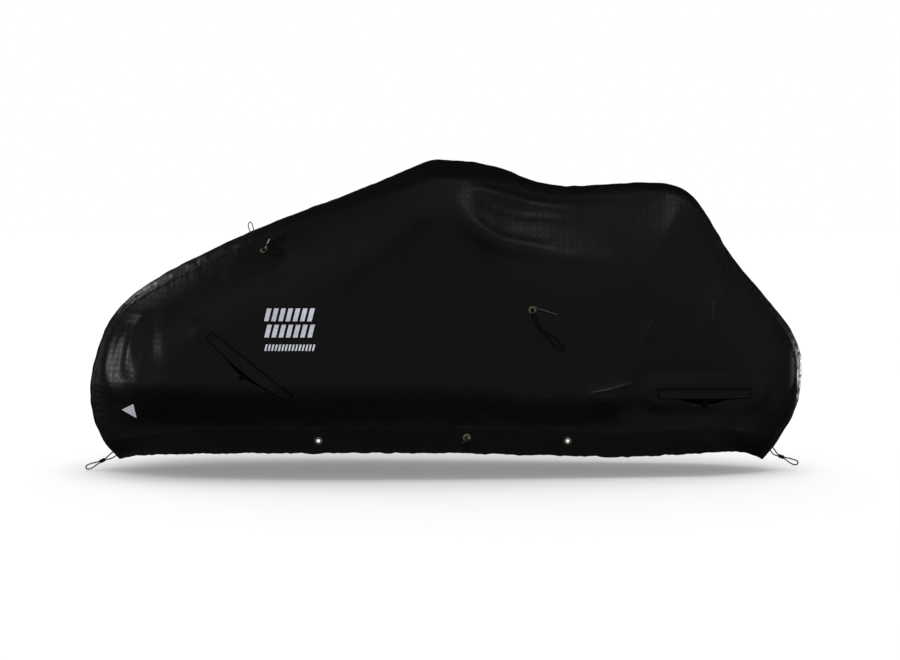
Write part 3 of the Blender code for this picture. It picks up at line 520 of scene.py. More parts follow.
SECTIONS = (
    # x, half the gusset, its drop, half the widest width, depth of that, half the width at the hem
    (-1.260, 0.045, 0.020, 0.200, 0.260, 0.150),
    (-1.120, 0.075, 0.022, 0.250, 0.260, 0.170),
    (-0.950, 0.110, 0.030, 0.300, 0.260, 0.210),
    (-0.600, 0.165, 0.036, 0.335, 0.260, 0.265),
    (-0.280, 0.215, 0.050, 0.335, 0.220, 0.275),
    (-0.040, 0.265, 0.066, 0.320, 0.130, 0.265),
    (0.060, 0.255, 0.064, 0.315, 0.150, 0.260),
    (0.240, 0.160, 0.050, 0.295, 0.300, 0.245),
    (0.450, 0.105, 0.036, 0.270, 0.360, 0.225),
    (0.750, 0.095, 0.030, 0.225, 0.320, 0.195),
    (0.950, 0.085, 0.028, 0.190, 0.260, 0.175),
    (1.150, 0.070, 0.024, 0.165, 0.220, 0.155),
    (1.310, 0.045, 0.020, 0.140, 0.200, 0.130),
)
TURN_Z = -0.760
TURN_LATER = 0.040          # the cloth turns under this much lower towards the tail
TURN_DEPTH = 0.190
TURN_TAIL = 0.18            # at the tail it starts this much higher, and is as much longer
MAIN_FOLDS = (
    # x0, z0, x1, z1, x2, z2, half_width, height
    (-0.020, -0.130, -0.170, -0.250, -0.360, -0.430, 0.045, 0.009),
    (-0.030, -0.200, -0.085, -0.320, -0.130, -0.440, 0.035, -0.007),
    (0.000, -0.160, -0.010, -0.400, -0.040, -0.640, 0.050, 0.005),
    (0.060, -0.020, 0.223, -0.112, 0.620, -0.168, 0.030, 0.015),
    (0.020, -0.110, 0.195, -0.282, 0.600, -0.345, 0.040, 0.015),
    (0.060, -0.290, 0.180, -0.400, 0.420, -0.420, 0.050, -0.003),
    (0.820, -0.190, 0.600, -0.330, 0.330, -0.520, 0.045, 0.0015),
    (0.880, -0.300, 0.840, -0.450, 0.700, -0.640, 0.055, 0.004),
    (0.960, -0.330, 0.980, -0.480, 0.940, -0.640, 0.045, 0.007),
    (0.500, -0.818, 0.600, -0.826, 0.720, -0.800, 0.040, 0.008),
    (0.400, -0.700, 0.520, -0.730, 0.640, -0.690, 0.040, -0.002),
    (-1.150, -0.580, -1.170, -0.700, -1.150, -0.850, 0.030, 0.014),
    (-1.060, -0.540, -1.070, -0.680, -1.040, -0.820, 0.032, 0.014),
    (-0.990, -0.520, -1.000, -0.620, -0.960, -0.760, 0.036, -0.012),
    (-0.760, -0.420, -0.600, -0.470, -0.420, -0.560, 0.055, 0.012),
    (1.040, -0.940, 1.090, -0.990, 1.130, -1.030, 0.030, 0.012),
    (0.930, -0.960, 0.960, -1.000, 0.980, -1.030, 0.030, 0.010),
)
FOLD_FADE = 0.045
STRIP_HEIGHT = 0.085
STRIP_BEND = 0.12
NOSE_SIDE = 0.640
TAIL_SIDE = 0.740
FLAT_REACH = 0.070
HEM_FLAT_REACH = 0.025
FLAP_FLAT_REACH = 0.026
FLAT_FADE = 0.055
FLAP_FLAT_FADE = 0.055
# The creases between the main folds, by their line, half width, ridge height and step across.
CREASES = (
    # x0, z0, x1, z1, x2, z2, half_width, ridge, step
    (0.787, -0.153, 0.317, -0.502, -0.102, -0.813, 0.007, -0.0012, 0.0006),
    (-0.049, -0.136, -0.203, -0.273, -0.341, -0.403, 0.014, 0.0026, 0.0),
    (-0.049, -0.160, -0.090, -0.290, -0.151, -0.420, 0.014, -0.0028, 0.0),
    (0.128, -0.058, 0.224, -0.103, 0.460, -0.150, 0.020, 0.0040, 0.0),
    (0.120, -0.105, 0.235, -0.172, 0.500, -0.205, 0.026, -0.0070, 0.0),
    (0.080, -0.185, 0.207, -0.268, 0.400, -0.303, 0.020, 0.0060, 0.0),
    (0.104, -0.273, 0.241, -0.334, 0.412, -0.348, 0.026, -0.0020, 0.0),
    (0.739, -0.547, 0.715, -0.599, 0.688, -0.650, 0.014, 0.0036, 0.0),
    (0.957, -0.485, 0.958, -0.537, 0.952, -0.589, 0.013, 0.0040, 0.0),
    (0.517, -0.800, 0.586, -0.790, 0.668, -0.766, 0.009, 0.0050, 0.0),
    (-1.182, -0.782, -1.170, -0.659, -1.127, -0.572, 0.011, 0.0046, 0.0),
    (-1.146, -0.747, -1.124, -0.642, -1.085, -0.561, 0.011, 0.0046, 0.0),
    (-1.101, -0.757, -1.075, -0.642, -1.043, -0.537, 0.014, 0.0060, 0.0),
    (-1.035, -0.757, -1.020, -0.659, -1.001, -0.572, 0.010, 0.0040, 0.0),
    (0.937, -0.870, 0.944, -0.898, 0.955, -0.922, 0.010, -0.0030, 0.0),
)
# The crumples: shallow waves all over the cloth, with their longest and shortest length, and height.
CRUMPLE_LONGEST = 0.300
CRUMPLE_SHORTEST = 0.045
CRUMPLE_HEIGHT = 0.0060     # as a share of each wave's length
CRUMPLE_WAVES = 40
PUCKER_REACH = 0.030        # the sewing draws the cloth into puckers this far from a seam
PUCKER_HEIGHT = 0.0006
SCALLOP = 0.0014            # the hem's thread draws its edge up and down unevenly
ALLOWANCE_WIDTH = 0.009     # the folded edge under a seam lifts the cloth beside it
ALLOWANCE_HEIGHT = 0.0006


def smooth_step(value):
    """An even ease from 0 to 1."""
    t = np.clip(value, 0.0, 1.0)
    return t * t * (3.0 - 2.0 * t)


def column(table, index, x):
    """A column of a table, eased smoothly between its rows, at each x."""
    keys = np.array([row[0] for row in table])
    values = np.array([row[index] for row in table])
    slopes = np.gradient(values, keys)
    x = np.clip(x, keys[0], keys[-1])
    i = np.clip(np.searchsorted(keys, x) - 1, 0, len(keys) - 2)
    width = keys[i + 1] - keys[i]
    t = (x - keys[i]) / width
    start = values[i] * (1 + 2 * t) * (1 - t) ** 2 + slopes[i] * width * t * (1 - t) ** 2
    end = values[i + 1] * t ** 2 * (3 - 2 * t) - slopes[i + 1] * width * t ** 2 * (1 - t)
    return start + end


def distance_to(curve, points):
    """How far each point is from a curve, where its nearest place is along it, and on which side."""
    best = np.full(len(points), 1e9)
    place = np.zeros(len(points))
    side = np.ones(len(points))
    last = len(curve) - 1
    for k in range(last):
        step = curve[k + 1] - curve[k]
        t = np.clip(((points - curve[k]) @ step) / max(step @ step, 1e-12), 0.0, 1.0)
        away = points - curve[k] - t[:, None] * step
        d = np.hypot(away[:, 0], away[:, 1])
        nearer = d < best
        best[nearer] = d[nearer]
        place[nearer] = (k + t[nearer]) / last
        side[nearer] = np.sign(step[0] * away[nearer, 1] - step[1] * away[nearer, 0])
    return best, place, side


def inwards(curve):
    """The directions across a curve of the side view, to its right, at each of its points."""
    along = np.gradient(curve, axis=0)
    along /= np.linalg.norm(along, axis=1)[:, None]
    return np.stack((along[:, 1], -along[:, 0]), axis=1)


EDGE = curve_through(OUTLINE, 12) + np.array((0.0, TOP_OF_MOUNT))
SEAM = EDGE + inwards(EDGE) * column(SECTIONS, 2, EDGE[:, 0])[:, None]
SEAM_RUN = run_of(SEAM)


def draped(x, z, depth=None):
    """Half the cover's width at points of the side view, with its main folds."""
    points = np.stack((x, z), axis=1)
    if depth is None:
        depth = distance_to(SEAM, points)[0]
    gusset, body, reach, hem = (column(SECTIONS, k, x) for k in (1, 3, 4, 5))
    rise = 1 - (1 - np.clip(depth / reach, 0.0, 1.0)) ** 2
    tail = TURN_TAIL * smooth_step((x - 0.58) / 0.16)
    start = tail - TURN_LATER * smooth_step((x - 0.15) / 0.15)
    turn = smooth_step((TURN_Z + start - z) / (TURN_DEPTH + start))
    folds = np.zeros(len(x))
    for *line, spread, lift in MAIN_FOLDS:
        away, place, _ = distance_to(curve_through(np.reshape(line, (3, 2)), 6), points)
        folds += lift * np.exp(-(away / spread) ** 2) * (1 - abs(2 * place - 1) ** 3)
    return gusset + (body - gusset - (body - hem) * turn) * rise + folds * smooth_step(depth / FOLD_FADE)


# Where the cloth lies flat: each line's ends, the plane of the cloth, and how far it reaches.
FLAP_PLACES = {
    "front": (-0.6515, -0.7070, 0.332545, 0.047844, 0.000010),
    "rear": (0.9245, -0.8130, 0.191082, -0.155815, 0.090528),
}
FLAP_LINES = {
    "front": ((-0.790, -0.596), (-0.513, -0.818)),
    "rear": ((0.757, -0.811), (1.092, -0.815)),
}
FLATS = [(place[:2], place[:2], place, HEM_FLAT_REACH if name.startswith("hem") else FLAT_REACH, FLAT_FADE)
         for name, place in EYELET_PLACES.items()]
FLAP_FLATS = {"front": ((-0.790, -0.596), (-0.610, -0.740)), "rear": FLAP_LINES["rear"]}
FLATS += [(*FLAP_FLATS[name], FLAP_PLACES[name], FLAP_FLAT_REACH, FLAP_FLAT_FADE) for name in FLAP_LINES]


def half_width(x, z, depth=None):
    """The draped half width, made flat around the eyelets and under the flaps."""
    width = draped(x, z, depth)
    points = np.stack((x, z), axis=1)
    for start, end, (place_x, place_z, middle, slope_x, slope_z), reach, fade in FLATS:
        away = distance_to(np.array((start, end)), points)[0]
        flat = middle + slope_x * (x - place_x) + slope_z * (z - place_z)
        width = width + (flat - width) * smooth_step((reach + fade - away) / fade)
    return width


def waves(u, v, seed, longest, shortest, count):
    """Uneven shallow waves over a sheet, from a fixed seed, about 1 high in all."""
    dice = np.random.default_rng(seed)
    total = np.zeros(u.shape)
    for k in range(count):
        length = longest * (shortest / longest) ** (k / (count - 1))
        angle = dice.uniform(0.0, math.pi)
        phase = dice.uniform(0.0, 2 * math.pi)
        bend = dice.uniform(0.2, 0.5) * longest
        across = u * math.cos(angle) + v * math.sin(angle)
        along = v * math.cos(angle) - u * math.sin(angle)
        total += length / longest * np.sin(2 * math.pi / length * across + phase
                                           + np.sin(2 * math.pi * along / bend + phase * 3))
    return total / math.sqrt(count / 4)


def seam_relief(run, depth, seed):
    """The puckers beside a sewn seam, and the lift of its folded allowance."""
    pucker = waves(run, np.zeros(run.shape), seed, 0.060, 0.022, 8)
    near = np.exp(-(depth / PUCKER_REACH) ** 2) * smooth_step(depth / 0.006)
    lift = smooth_step(depth / 0.003) * smooth_step((ALLOWANCE_WIDTH + 0.003 - depth) / 0.003)
    return PUCKER_HEIGHT * pucker * near + ALLOWANCE_HEIGHT * lift


def panel_relief(x, z, depth, run, seed):
    """The creases, crumples and puckers of a side: how far they lift the cloth."""
    points = np.stack((x, z), axis=1)
    total = CRUMPLE_HEIGHT * CRUMPLE_LONGEST * 0.30 * waves(x, z, seed, CRUMPLE_LONGEST, CRUMPLE_SHORTEST,
                                                     CRUMPLE_WAVES)
    for *line, spread, ridge, step in CREASES:
        away, place, across = distance_to(curve_through(np.reshape(line, (3, 2)), 8), points)
        across = across * away / spread
        shape = ridge * np.exp(-across ** 2) + step * 1.6 * across * np.exp(-(across / 1.4) ** 2)
        total += shape * (1 - abs(2 * place - 1) ** 3)
    total *= smooth_step(depth / 0.050)
    calm = [(start, end, reach) for start, end, _, reach, _ in FLATS]
    for start, end, reach in calm + [(*line, 2 * FLAP_FLAT_REACH) for line in FLAP_LINES.values()]:
        away = distance_to(np.array((start, end)), points)[0]
        total *= smooth_step((away - reach * 0.45) / 0.030)
    return total + seam_relief(run, depth, seed + 7)


def spaced(length, step, fine, count, both=True):
    """Stations from 0 to 1 over a length, with some finer ones at its start, and at its end."""
    small = np.arange(count + 1) * fine / length
    last = 1 - small[::-1] if both else np.array((1.0,))
    middle = np.linspace(small[-1], last[0], max(2, round((last[0] - small[-1]) * length / step)) + 1)
    return np.concatenate((small[:-1], middle, last[1:]))


def patch(top, bottom, left, right, u, v):
    """A grid of points that meets four edges, with rows from top to bottom."""
    u = u[None, :, None]
    v = v[:, None, None]
    ruled = (1 - v) * top[None] + v * bottom[None] + (1 - u) * left[:, None] + u * right[:, None]
    corners = (1 - v) * ((1 - u) * top[0] + u * top[-1]) + v * ((1 - u) * bottom[0] + u * bottom[-1])
    return ruled - corners


ACROSS = spaced(2.40, 0.0075, 0.0030, 5)
DOWN = spaced(0.80, 0.0064, 0.0030, 5)
STRIP_DOWN = spaced(STRIP_HEIGHT, 0.0066, 0.0030, 3)
total_run = SEAM_RUN[-1]
nose_stations = STRIP_HEIGHT + (NOSE_SIDE - STRIP_HEIGHT) * (1 - DOWN[::-1])
tail_stations = total_run - TAIL_SIDE + (TAIL_SIDE - STRIP_HEIGHT) * DOWN
top_stations = NOSE_SIDE + (total_run - TAIL_SIDE - NOSE_SIDE) * ACROSS
low_nose = STRIP_HEIGHT * (1 - STRIP_DOWN[::-1])
low_tail = total_run - STRIP_HEIGHT + STRIP_HEIGHT * STRIP_DOWN
STATIONS = np.concatenate((low_nose[:-1], nose_stations[:-1], top_stations, tail_stations[1:],
                           low_tail[1:]))


def on_seam(stations):
    """Points of the gusset's seam in the side view."""
    return at_lengths(SEAM, stations, SEAM_RUN)


hem_line = curve_through(HEM, 8)
hem_line[0], hem_line[-1] = SEAM[0], SEAM[-1]
hem_run = run_of(hem_line)
lower = at_lengths(hem_line, hem_run[-1] * ACROSS, hem_run)
scallop = waves(lower[:, 0], np.zeros(len(lower)), 5, 0.120, 0.035, 12)
lower[:, 1] += SCALLOP * scallop * smooth_step(ACROSS / 0.03) * smooth_step((1 - ACROSS) / 0.03)
to_front = (1 - smooth_step(ACROSS / STRIP_BEND))[:, None]
to_rear = (1 - smooth_step((1 - ACROSS) / STRIP_BEND))[:, None]
front_rise = on_seam(np.array((STRIP_HEIGHT,)))[0] - lower[0]
rear_rise = on_seam(np.array((total_run - STRIP_HEIGHT,)))[0] - lower[-1]
upper = lower + np.array((0.0, STRIP_HEIGHT)) * (1 - to_front - to_rear) + front_rise * to_front
upper += rear_rise * to_rear
PANEL_PLACES = patch(on_seam(top_stations), upper, on_seam(nose_stations[::-1]), on_seam(tail_stations),
                     ACROSS, DOWN)
STRIP_PLACES = patch(upper, lower, on_seam(low_nose[::-1]), on_seam(low_tail), ACROSS, STRIP_DOWN)


def side_surface(places, side, seed, raised=0.0):
    """The cloth's middle surface over places of the side view, on one side of the cover."""
    x, z = places[..., 0].ravel(), places[..., 1].ravel()
    depth, place, _ = distance_to(SEAM, np.stack((x, z), axis=1))
    width = half_width(x, z, depth)
    step = 0.004
    slope_x = (half_width(x + step, z) - half_width(x - step, z)) / (2 * step)
    slope_z = (half_width(x, z + step) - half_width(x, z - step)) / (2 * step)
    normal = np.stack((-slope_x, np.ones(len(x)), -slope_z), axis=1)
    normal /= np.linalg.norm(normal, axis=1)[:, None]
    run = np.interp(place * (len(SEAM) - 1), np.arange(len(SEAM)), SEAM_RUN)
    relief = panel_relief(x, z, depth, run, seed) + np.broadcast_to(raised, places.shape[:2]).ravel()
    points = np.stack((x, width, z), axis=1) + normal * relief[:, None]
    points[:, 1] *= side
    return points.reshape(*places.shape[:2], 3)


# ---- gusset ---------------------------------------------------------------------------------------
# One long strip of the same cloth from the nose over the top to the tail, widest at its highest
# point, sewn to both panels with a felled seam and two rows of black thread.

ARCH_POWER = 2.2            # how flat the gusset is across its middle
GUSSET_CRUMPLES = (0.220, 0.040, 24)    # its waves' longest and shortest length, and their number
GUSSET_CRUMPLE_HEIGHT = 0.0011
ACROSS_GUSSET = np.concatenate((-1 + np.array((0.0, 0.02, 0.05, 0.09, 0.15)), np.linspace(-0.78, 0.78, 19),
                                1 - np.array((0.15, 0.09, 0.05, 0.02, 0.0))))


def gusset_surface(seed):
    """The middle surface of the gusset, by station and across."""
    seam, edge = on_seam(STATIONS), at_lengths(EDGE, STATIONS, SEAM_RUN)
    width = half_width(seam[:, 0], seam[:, 1])
    t = ACROSS_GUSSET[None, :]
    fall = abs(t) ** ARCH_POWER
    x = edge[:, :1] + (seam[:, :1] - edge[:, :1]) * fall
    z = edge[:, 1:] + (seam[:, 1:] - edge[:, 1:]) * fall
    points = np.stack((x, t * width[:, None], z), axis=2)
    normal = np.cross(np.gradient(points, axis=1), np.gradient(points, axis=0))
    normal /= np.linalg.norm(normal, axis=2)[..., None]
    depth = (1 - abs(t)) * width[:, None]
    run = np.broadcast_to(STATIONS[:, None], depth.shape)
    relief = GUSSET_CRUMPLE_HEIGHT * waves(run, points[..., 1], seed, *GUSSET_CRUMPLES)
    relief = relief * smooth_step(depth / 0.030) + seam_relief(run, depth, seed + 7)
    return points + normal * relief[..., None]


def grid_quads(rows, columns, first, flip):
    """The corners of each cell of a grid, from the number of its first point."""
    index = first + np.arange(rows * columns).reshape(rows, columns)
    corners = (index[:-1, :-1], index[1:, :-1], index[1:, 1:], index[:-1, 1:])
    quads = np.stack([corner.ravel() for corner in corners], axis=1)
    return quads[:, ::-1] if flip else quads


def closed_sheet(rows, columns, first=0, flip=False):
    """The faces of a thin closed sheet: a grid of points, the same grid behind it, and their rim."""
    count = rows * columns
    index = first + np.arange(count).reshape(rows, columns)
    loop = np.concatenate((index[0, :-1], index[:-1, -1], index[-1, :0:-1], index[:0:-1, 0]))
    following = np.roll(loop, -1)
    rim = np.stack((loop, following, following + count, loop + count), axis=1)
    front = grid_quads(rows, columns, first, flip)
    behind = grid_quads(rows, columns, first + count, not flip)
    return np.vstack((front, behind, rim[:, ::-1] if flip else rim)).tolist()


def lay_map(piece, flat):
    """A closed sheet's UV map: the places of its grid, on both of its faces."""
    corners = np.zeros(len(piece.data.loops), dtype=np.int32)
    piece.data.loops.foreach_get("vertex_index", corners)
    layer = piece.data.uv_layers.new(name="UVMap")
    layer.data.foreach_set("uv", np.vstack((flat, flat))[corners].ravel())


EDGE_FOLD = 0.014           # the hem's lower edge is folded to this width, twice as thick
EDGE_FOLD_LIFT = 0.0008
EDGE_FOLD_STEP = 0.003      # width over which the cloth rises onto the fold
above_hem = STRIP_HEIGHT - STRIP_DOWN * STRIP_HEIGHT
folded_edge = EDGE_FOLD_LIFT * smooth_step((EDGE_FOLD - above_hem) / EDGE_FOLD_STEP)[:, None]
surfaces = {}
for side, sign in SIDES:
    seed = 11 if sign < 0 else 23
    surfaces[f"panel_{side}"] = (side_surface(PANEL_PLACES, sign, seed), sign < 0)
    surfaces[f"hem_{side}"] = (side_surface(STRIP_PLACES, sign, seed, folded_edge), sign < 0)
surfaces["gusset"] = (gusset_surface(37), False)
everywhere = np.vstack([points.reshape(-1, 3) for points, _ in surfaces.values()])
_, merged = np.unique(np.round(everywhere, 5), axis=0, return_inverse=True)
merged = merged.ravel()
total_normal = np.zeros((merged.max() + 1, 3))
first = 0
for points, flip in surfaces.values():
    quads = grid_quads(*points.shape[:2], first, flip)
    first += points.shape[0] * points.shape[1]
    p = everywhere[quads]
    face_normal = np.cross(p[:, 2] - p[:, 0], p[:, 3] - p[:, 1])
    for k in range(4):
        np.add.at(total_normal, merged[quads[:, k]], face_normal)
total_normal /= np.maximum(np.linalg.norm(total_normal, axis=1), 1e-12)[:, None]
shared_normals = total_normal[merged]


def draw_in(points):
    """Draw a grid's edges in a little, so that two pieces of cloth don't touch at their seam."""
    drawn = points.copy()
    for edge, inner in (((0,), (1,)), ((-1,), (-2,))):
        step = points[inner[0]] - points[edge[0]]
        drawn[edge[0]] += step / np.maximum(np.linalg.norm(step, axis=1), 1e-9)[:, None] * GAP / 2
        step = points[:, inner[0]] - points[:, edge[0]]
        drawn[:, edge[0]] += step / np.maximum(np.linalg.norm(step, axis=1), 1e-9)[:, None] * GAP / 2
    return drawn


def cloth_piece(name, points, normals, flip, uv, *finishes):
    """A sheet of cloth from its middle surface: an outer and an inner face and their rim."""
    rows, columns = points.shape[:2]
    middle = draw_in(points).reshape(-1, 3)
    both = np.vstack((middle + normals * CLOTH / 2, middle - normals * CLOTH / 2))
    piece = new_piece(name, both, closed_sheet(rows, columns, flip=flip), *finishes)
    turn_outwards(piece.data)
    lay_map(piece, uv.reshape(-1, 2))
    across = np.linalg.norm(np.diff(points, axis=1), axis=2).cumsum(axis=1)
    down = np.linalg.norm(np.diff(points, axis=0), axis=2).cumsum(axis=0)
    across = np.hstack((np.zeros((rows, 1)), across))
    down = np.vstack((np.zeros((1, columns)), down))
    inset = np.minimum.reduce((across, across[:, -1:] - across, down, down[-1:] - down)).ravel()
    worn = piece.data.attributes.new("worn", "FLOAT", "POINT")
    worn.data.foreach_set("value", np.tile(np.clip(1 - inset / WEAR_REACH, 0.0, 1.0), 2))
    return piece


WEAR_REACH = 0.014          # rubbing dulls the coating this far from a seam or an edge
coated, tree, shader = new_finish("coated_ripstop", (0.006, 0.006, 0.006), 0.40, specular=0.45)
weave = map_place(tree)
RIPSTOP = 0.0056            # spacing of the ripstop's thicker yarns
RIPSTOP_CHECK = 4 * RIPSTOP     # each fourth of them is doubled, and the cloth puffs out between


def ripstop_lines(tree, uv, pitch, width):
    """A mask of the thicker yarns that cross a ripstop cloth at an even pitch."""
    split = node(tree, "ShaderNodeSeparateXYZ", {0: uv})
    masks = []
    for axis in ("X", "Y"):
        turns = calc(tree, "DIVIDE", split.outputs[axis], pitch)
        away = calc(tree, "ABSOLUTE", calc(tree, "SUBTRACT", calc(tree, "FRACT", turns), 0.5))
        masks.append(ranged(tree, away, (0.5 - width, 0.5), way="SMOOTHSTEP"))
    return calc(tree, "MAXIMUM", *masks)


def ripstop_height(tree, uv):
    """The relief of the weave: fine squares, and puffed checks between the doubled yarns."""
    fine = ripstop_lines(tree, uv, RIPSTOP, 0.16)
    doubled = ripstop_lines(tree, uv, RIPSTOP_CHECK, 0.07)
    puff = calc(tree, "SUBTRACT", 1.0, ripstop_lines(tree, uv, RIPSTOP_CHECK, 0.5))
    lines = calc(tree, "ADD", calc(tree, "MULTIPLY", fine, 0.30), calc(tree, "MULTIPLY", doubled, 0.5))
    return calc(tree, "ADD", lines, calc(tree, "MULTIPLY", puff, 1.6)), puff


yarns, puffed = ripstop_height(tree, weave)
crinkle = noise(tree, weave, 34.0, 5.0, Roughness=0.55)
relief = bump(tree, crinkle, 0.0005, 0.8)
relief = bump(tree, yarns, 0.00022, 0.9, Normal=relief)
relief = bump(tree, noise(tree, weave, 900.0, 2.0), 0.00002, 0.4, Normal=relief)
rub = calc(tree, "MULTIPLY", mesh_value(tree, "worn"), noise(tree, weave, 160.0, 4.0))
shade = calc(tree, "ADD", noise(tree, weave, 5.0, 3.0), calc(tree, "MULTIPLY", rub, 0.5))
tone = tones(tree, shade, (0.0046, 0.0046, 0.0048), (0.0074, 0.0074, 0.0076))
# Painted highlights: thin pale lines along a few creases, where their ridges catch the light.
PAINTED_CREASE_HIGHLIGHTS = (
    # x0, z0, x1, z1, half width, how bright the painted highlight is
    (0.519, -0.801, 0.596, -0.788, 0.0040, 0.044),
    (0.580, -0.791, 0.668, -0.767, 0.0042, 0.026),
    (0.739, -0.547, 0.688, -0.650, 0.0034, 0.009),
    (0.957, -0.485, 0.952, -0.560, 0.0034, 0.014),
)


def painted_crease_highlight(tree, uv, x0, z0, x1, z1, half_width, pale):
    """A painted highlight along a crease: brightest along its line, less towards its ends."""
    along = (x1 - x0, z1 - z0, 0.0)
    from_start = vector_calc(tree, "SUBTRACT", uv, (x0, z0, 0.0))
    share = vector_calc(tree, "DOT_PRODUCT", from_start, along)
    share = ranged(tree, share, (0.0, along[0] ** 2 + along[1] ** 2))
    away = vector_calc(tree, "DISTANCE", from_start, vector_calc(tree, "SCALE", along, share))
    mask = ranged(tree, away, (0.0, half_width), (pale, 0.0), "SMOOTHSTEP")
    inner = calc(tree, "MULTIPLY", calc(tree, "MULTIPLY", share, calc(tree, "SUBTRACT", 1.0, share)), 4.0)
    return calc(tree, "MULTIPLY", mask, calc(tree, "POWER", inner, 0.5))


crease_highlights_painted = 0.0
for crease in PAINTED_CREASE_HIGHLIGHTS:
    crease_highlights_painted = calc(tree, "ADD", crease_highlights_painted, painted_crease_highlight(tree, weave, *crease))
# Painted shade: near a flap's edges the cloth's colour and gloss are darkened, for the shadow of its step.
unshaded_share = calc(tree, "SUBTRACT", 1.0, calc(tree, "MULTIPLY", mesh_value(tree, "painted_edge_shade"), 0.85))
tone_with_painted_light = vector_calc(tree, "ADD", vector_calc(tree, "SCALE", tone, unshaded_share), crease_highlights_painted)
dulled = calc(tree, "ADD", ranged(tree, crinkle, target=(0.34, 0.46)), calc(tree, "MULTIPLY", rub, 0.22))
dulled = calc(tree, "ADD", dulled, calc(tree, "MULTIPLY", puffed, -0.06))
connect(tree, shader, Normal=relief, Base_Color=tone_with_painted_light, Roughness=dulled,
        Specular_IOR_Level=calc(tree, "MULTIPLY", unshaded_share, 0.45))

# Painted shade: the facing is the panel's cloth with its colour painted darker, for the shade of the low
# band where the cloth turns under.
facing, tree, shader = new_finish("hem_facing_cloth", (0.0042, 0.0042, 0.0044), 0.60, specular=0.22)
weave = map_place(tree)
crinkle = noise(tree, weave, 60.0, 4.0)
relief = bump(tree, crinkle, 0.0008, 0.7)
rub = calc(tree, "MULTIPLY", mesh_value(tree, "worn"), crinkle)
connect(tree, shader, Normal=bump(tree, ripstop_height(tree, weave)[0], 0.00022, 0.9, Normal=relief),
        Base_Color=tones(tree, rub, (0.0038, 0.0038, 0.0040), (0.0062, 0.0062, 0.0064)))

CUT_DEPTH = 0.03
HOLE = 0.0072 + 0.00036     # radius of the hole that an eyelet's barrel sits in
HOLE_SIDES = 32
SLIT_INSET = 0.018
SLIT_UNDER = 0.007
SLIT_SAG = 0.023
SLIT_TAPER = 2.4            # how thin the opened slit runs out towards its ends
SLIT_STEPS = 24
FLAP_WIDTHS = {"front": 0.034, "rear": 0.036}


def band(low, high, count):
    """The faces between two rings of points, from the numbers of their first points."""
    return [(low + k, low + (k + 1) % count, high + (k + 1) % count, high + k) for k in range(count)]


def new_solid(name, points, faces, *finishes, sharp=40.0):
    """A closed piece, turned the right way out, smooth but for its sharp edges."""
    piece = new_piece(name, points, faces, *finishes)
    turn_outwards(piece.data)
    piece.data.set_sharp_from_angle(angle=math.radians(sharp))
    return piece


def punch(piece, openings):
    """Cut openings through a piece of cloth: each is an outline and the frame it lies in."""
    points, faces = [], []
    for outline, on in openings:
        first, count = len(points), len(outline)
        points += [on @ Vector((x, y, z)) for z in (-CUT_DEPTH, CUT_DEPTH) for x, y in outline]
        faces += [tuple(first + k for k in range(count)), tuple(first + count + k for k in range(count))]
        faces += band(first, first + count, count)
    cutter = new_solid("cutter", points, faces)
    run = piece.modifiers.new("openings", "BOOLEAN")
    run.object = cutter
    run.solver = "MANIFOLD"     # the exact solver leaves tubes at the holes of the thin facing
    keep_result(piece, run)
    bpy.data.objects.remove(cutter, do_unlink=True)


def circle(radius, count):
    """The outline of a round hole."""
    turns = [2 * math.pi * k / count for k in range(count)]
    return [(radius * math.cos(turn), radius * math.sin(turn)) for turn in turns]


def flap_frame(name, side):
    """The frame of a flap's middle: along it, up across it and out of the cloth."""
    (x0, z0), (x1, z1) = FLAP_LINES[name]
    return frame_on(FLAP_PLACES[name], (x1 - x0, z1 - z0), side)


def flap_length(name):
    (x0, z0), (x1, z1) = FLAP_LINES[name]
    return math.hypot(x1 - x0, z1 - z0)


def slit_outline(name):
    """The slit under a flap: straight above, and sagging open below."""
    reach = flap_length(name) / 2 - SLIT_INSET
    top = -FLAP_WIDTHS[name] / 2 + SLIT_UNDER
    lens = [(-reach, top), (reach, top)]
    for k in range(SLIT_STEPS - 1, 0, -1):
        t = 2 * k / SLIT_STEPS - 1
        lens.append((reach * t, top - (SLIT_UNDER + SLIT_SAG) * (1 - t * t) ** SLIT_TAPER))
    return lens


pieces = {}
first = 0
for name, (points, flip) in surfaces.items():
    count = points.shape[0] * points.shape[1]
    normals = shared_normals[first:first + count]
    first += count
    if name == "gusset":
        uv = np.stack((np.broadcast_to(STATIONS[:, None], points.shape[:2]), points[..., 1]), axis=2)
    else:
        uv = points[..., (0, 2)]
    finish = facing if name.startswith("hem") else coated
    pieces[name] = cloth_piece(f"cloth_{name}", points, normals, flip, uv, finish)
for side, sign in SIDES:
    openings = {"panel": [], "hem": []}
    for name in EYELET_PLACES:
        cloth = "hem" if name.startswith("hem") else "panel"
        openings[cloth].append((circle(HOLE, HOLE_SIDES), eyelet_frame(name, sign)))
    openings["panel"] += [(slit_outline(name), flap_frame(name, sign)) for name in FLAP_LINES]
    for cloth, cuts in openings.items():
        punch(pieces[f"{cloth}_{side}"], cuts)
for name, piece in pieces.items():
    fit(piece, "hem_facing" if name.startswith("hem") else "cloth", name)

# ---- lock flaps and pull tabs --------------------------------------------------------------------
# A bias-cut strip of the panel's cloth covers each slit. It is sewn down along its top and its ends,
# and its lower edge hangs free. A short loop of black webbing under its middle lifts it.

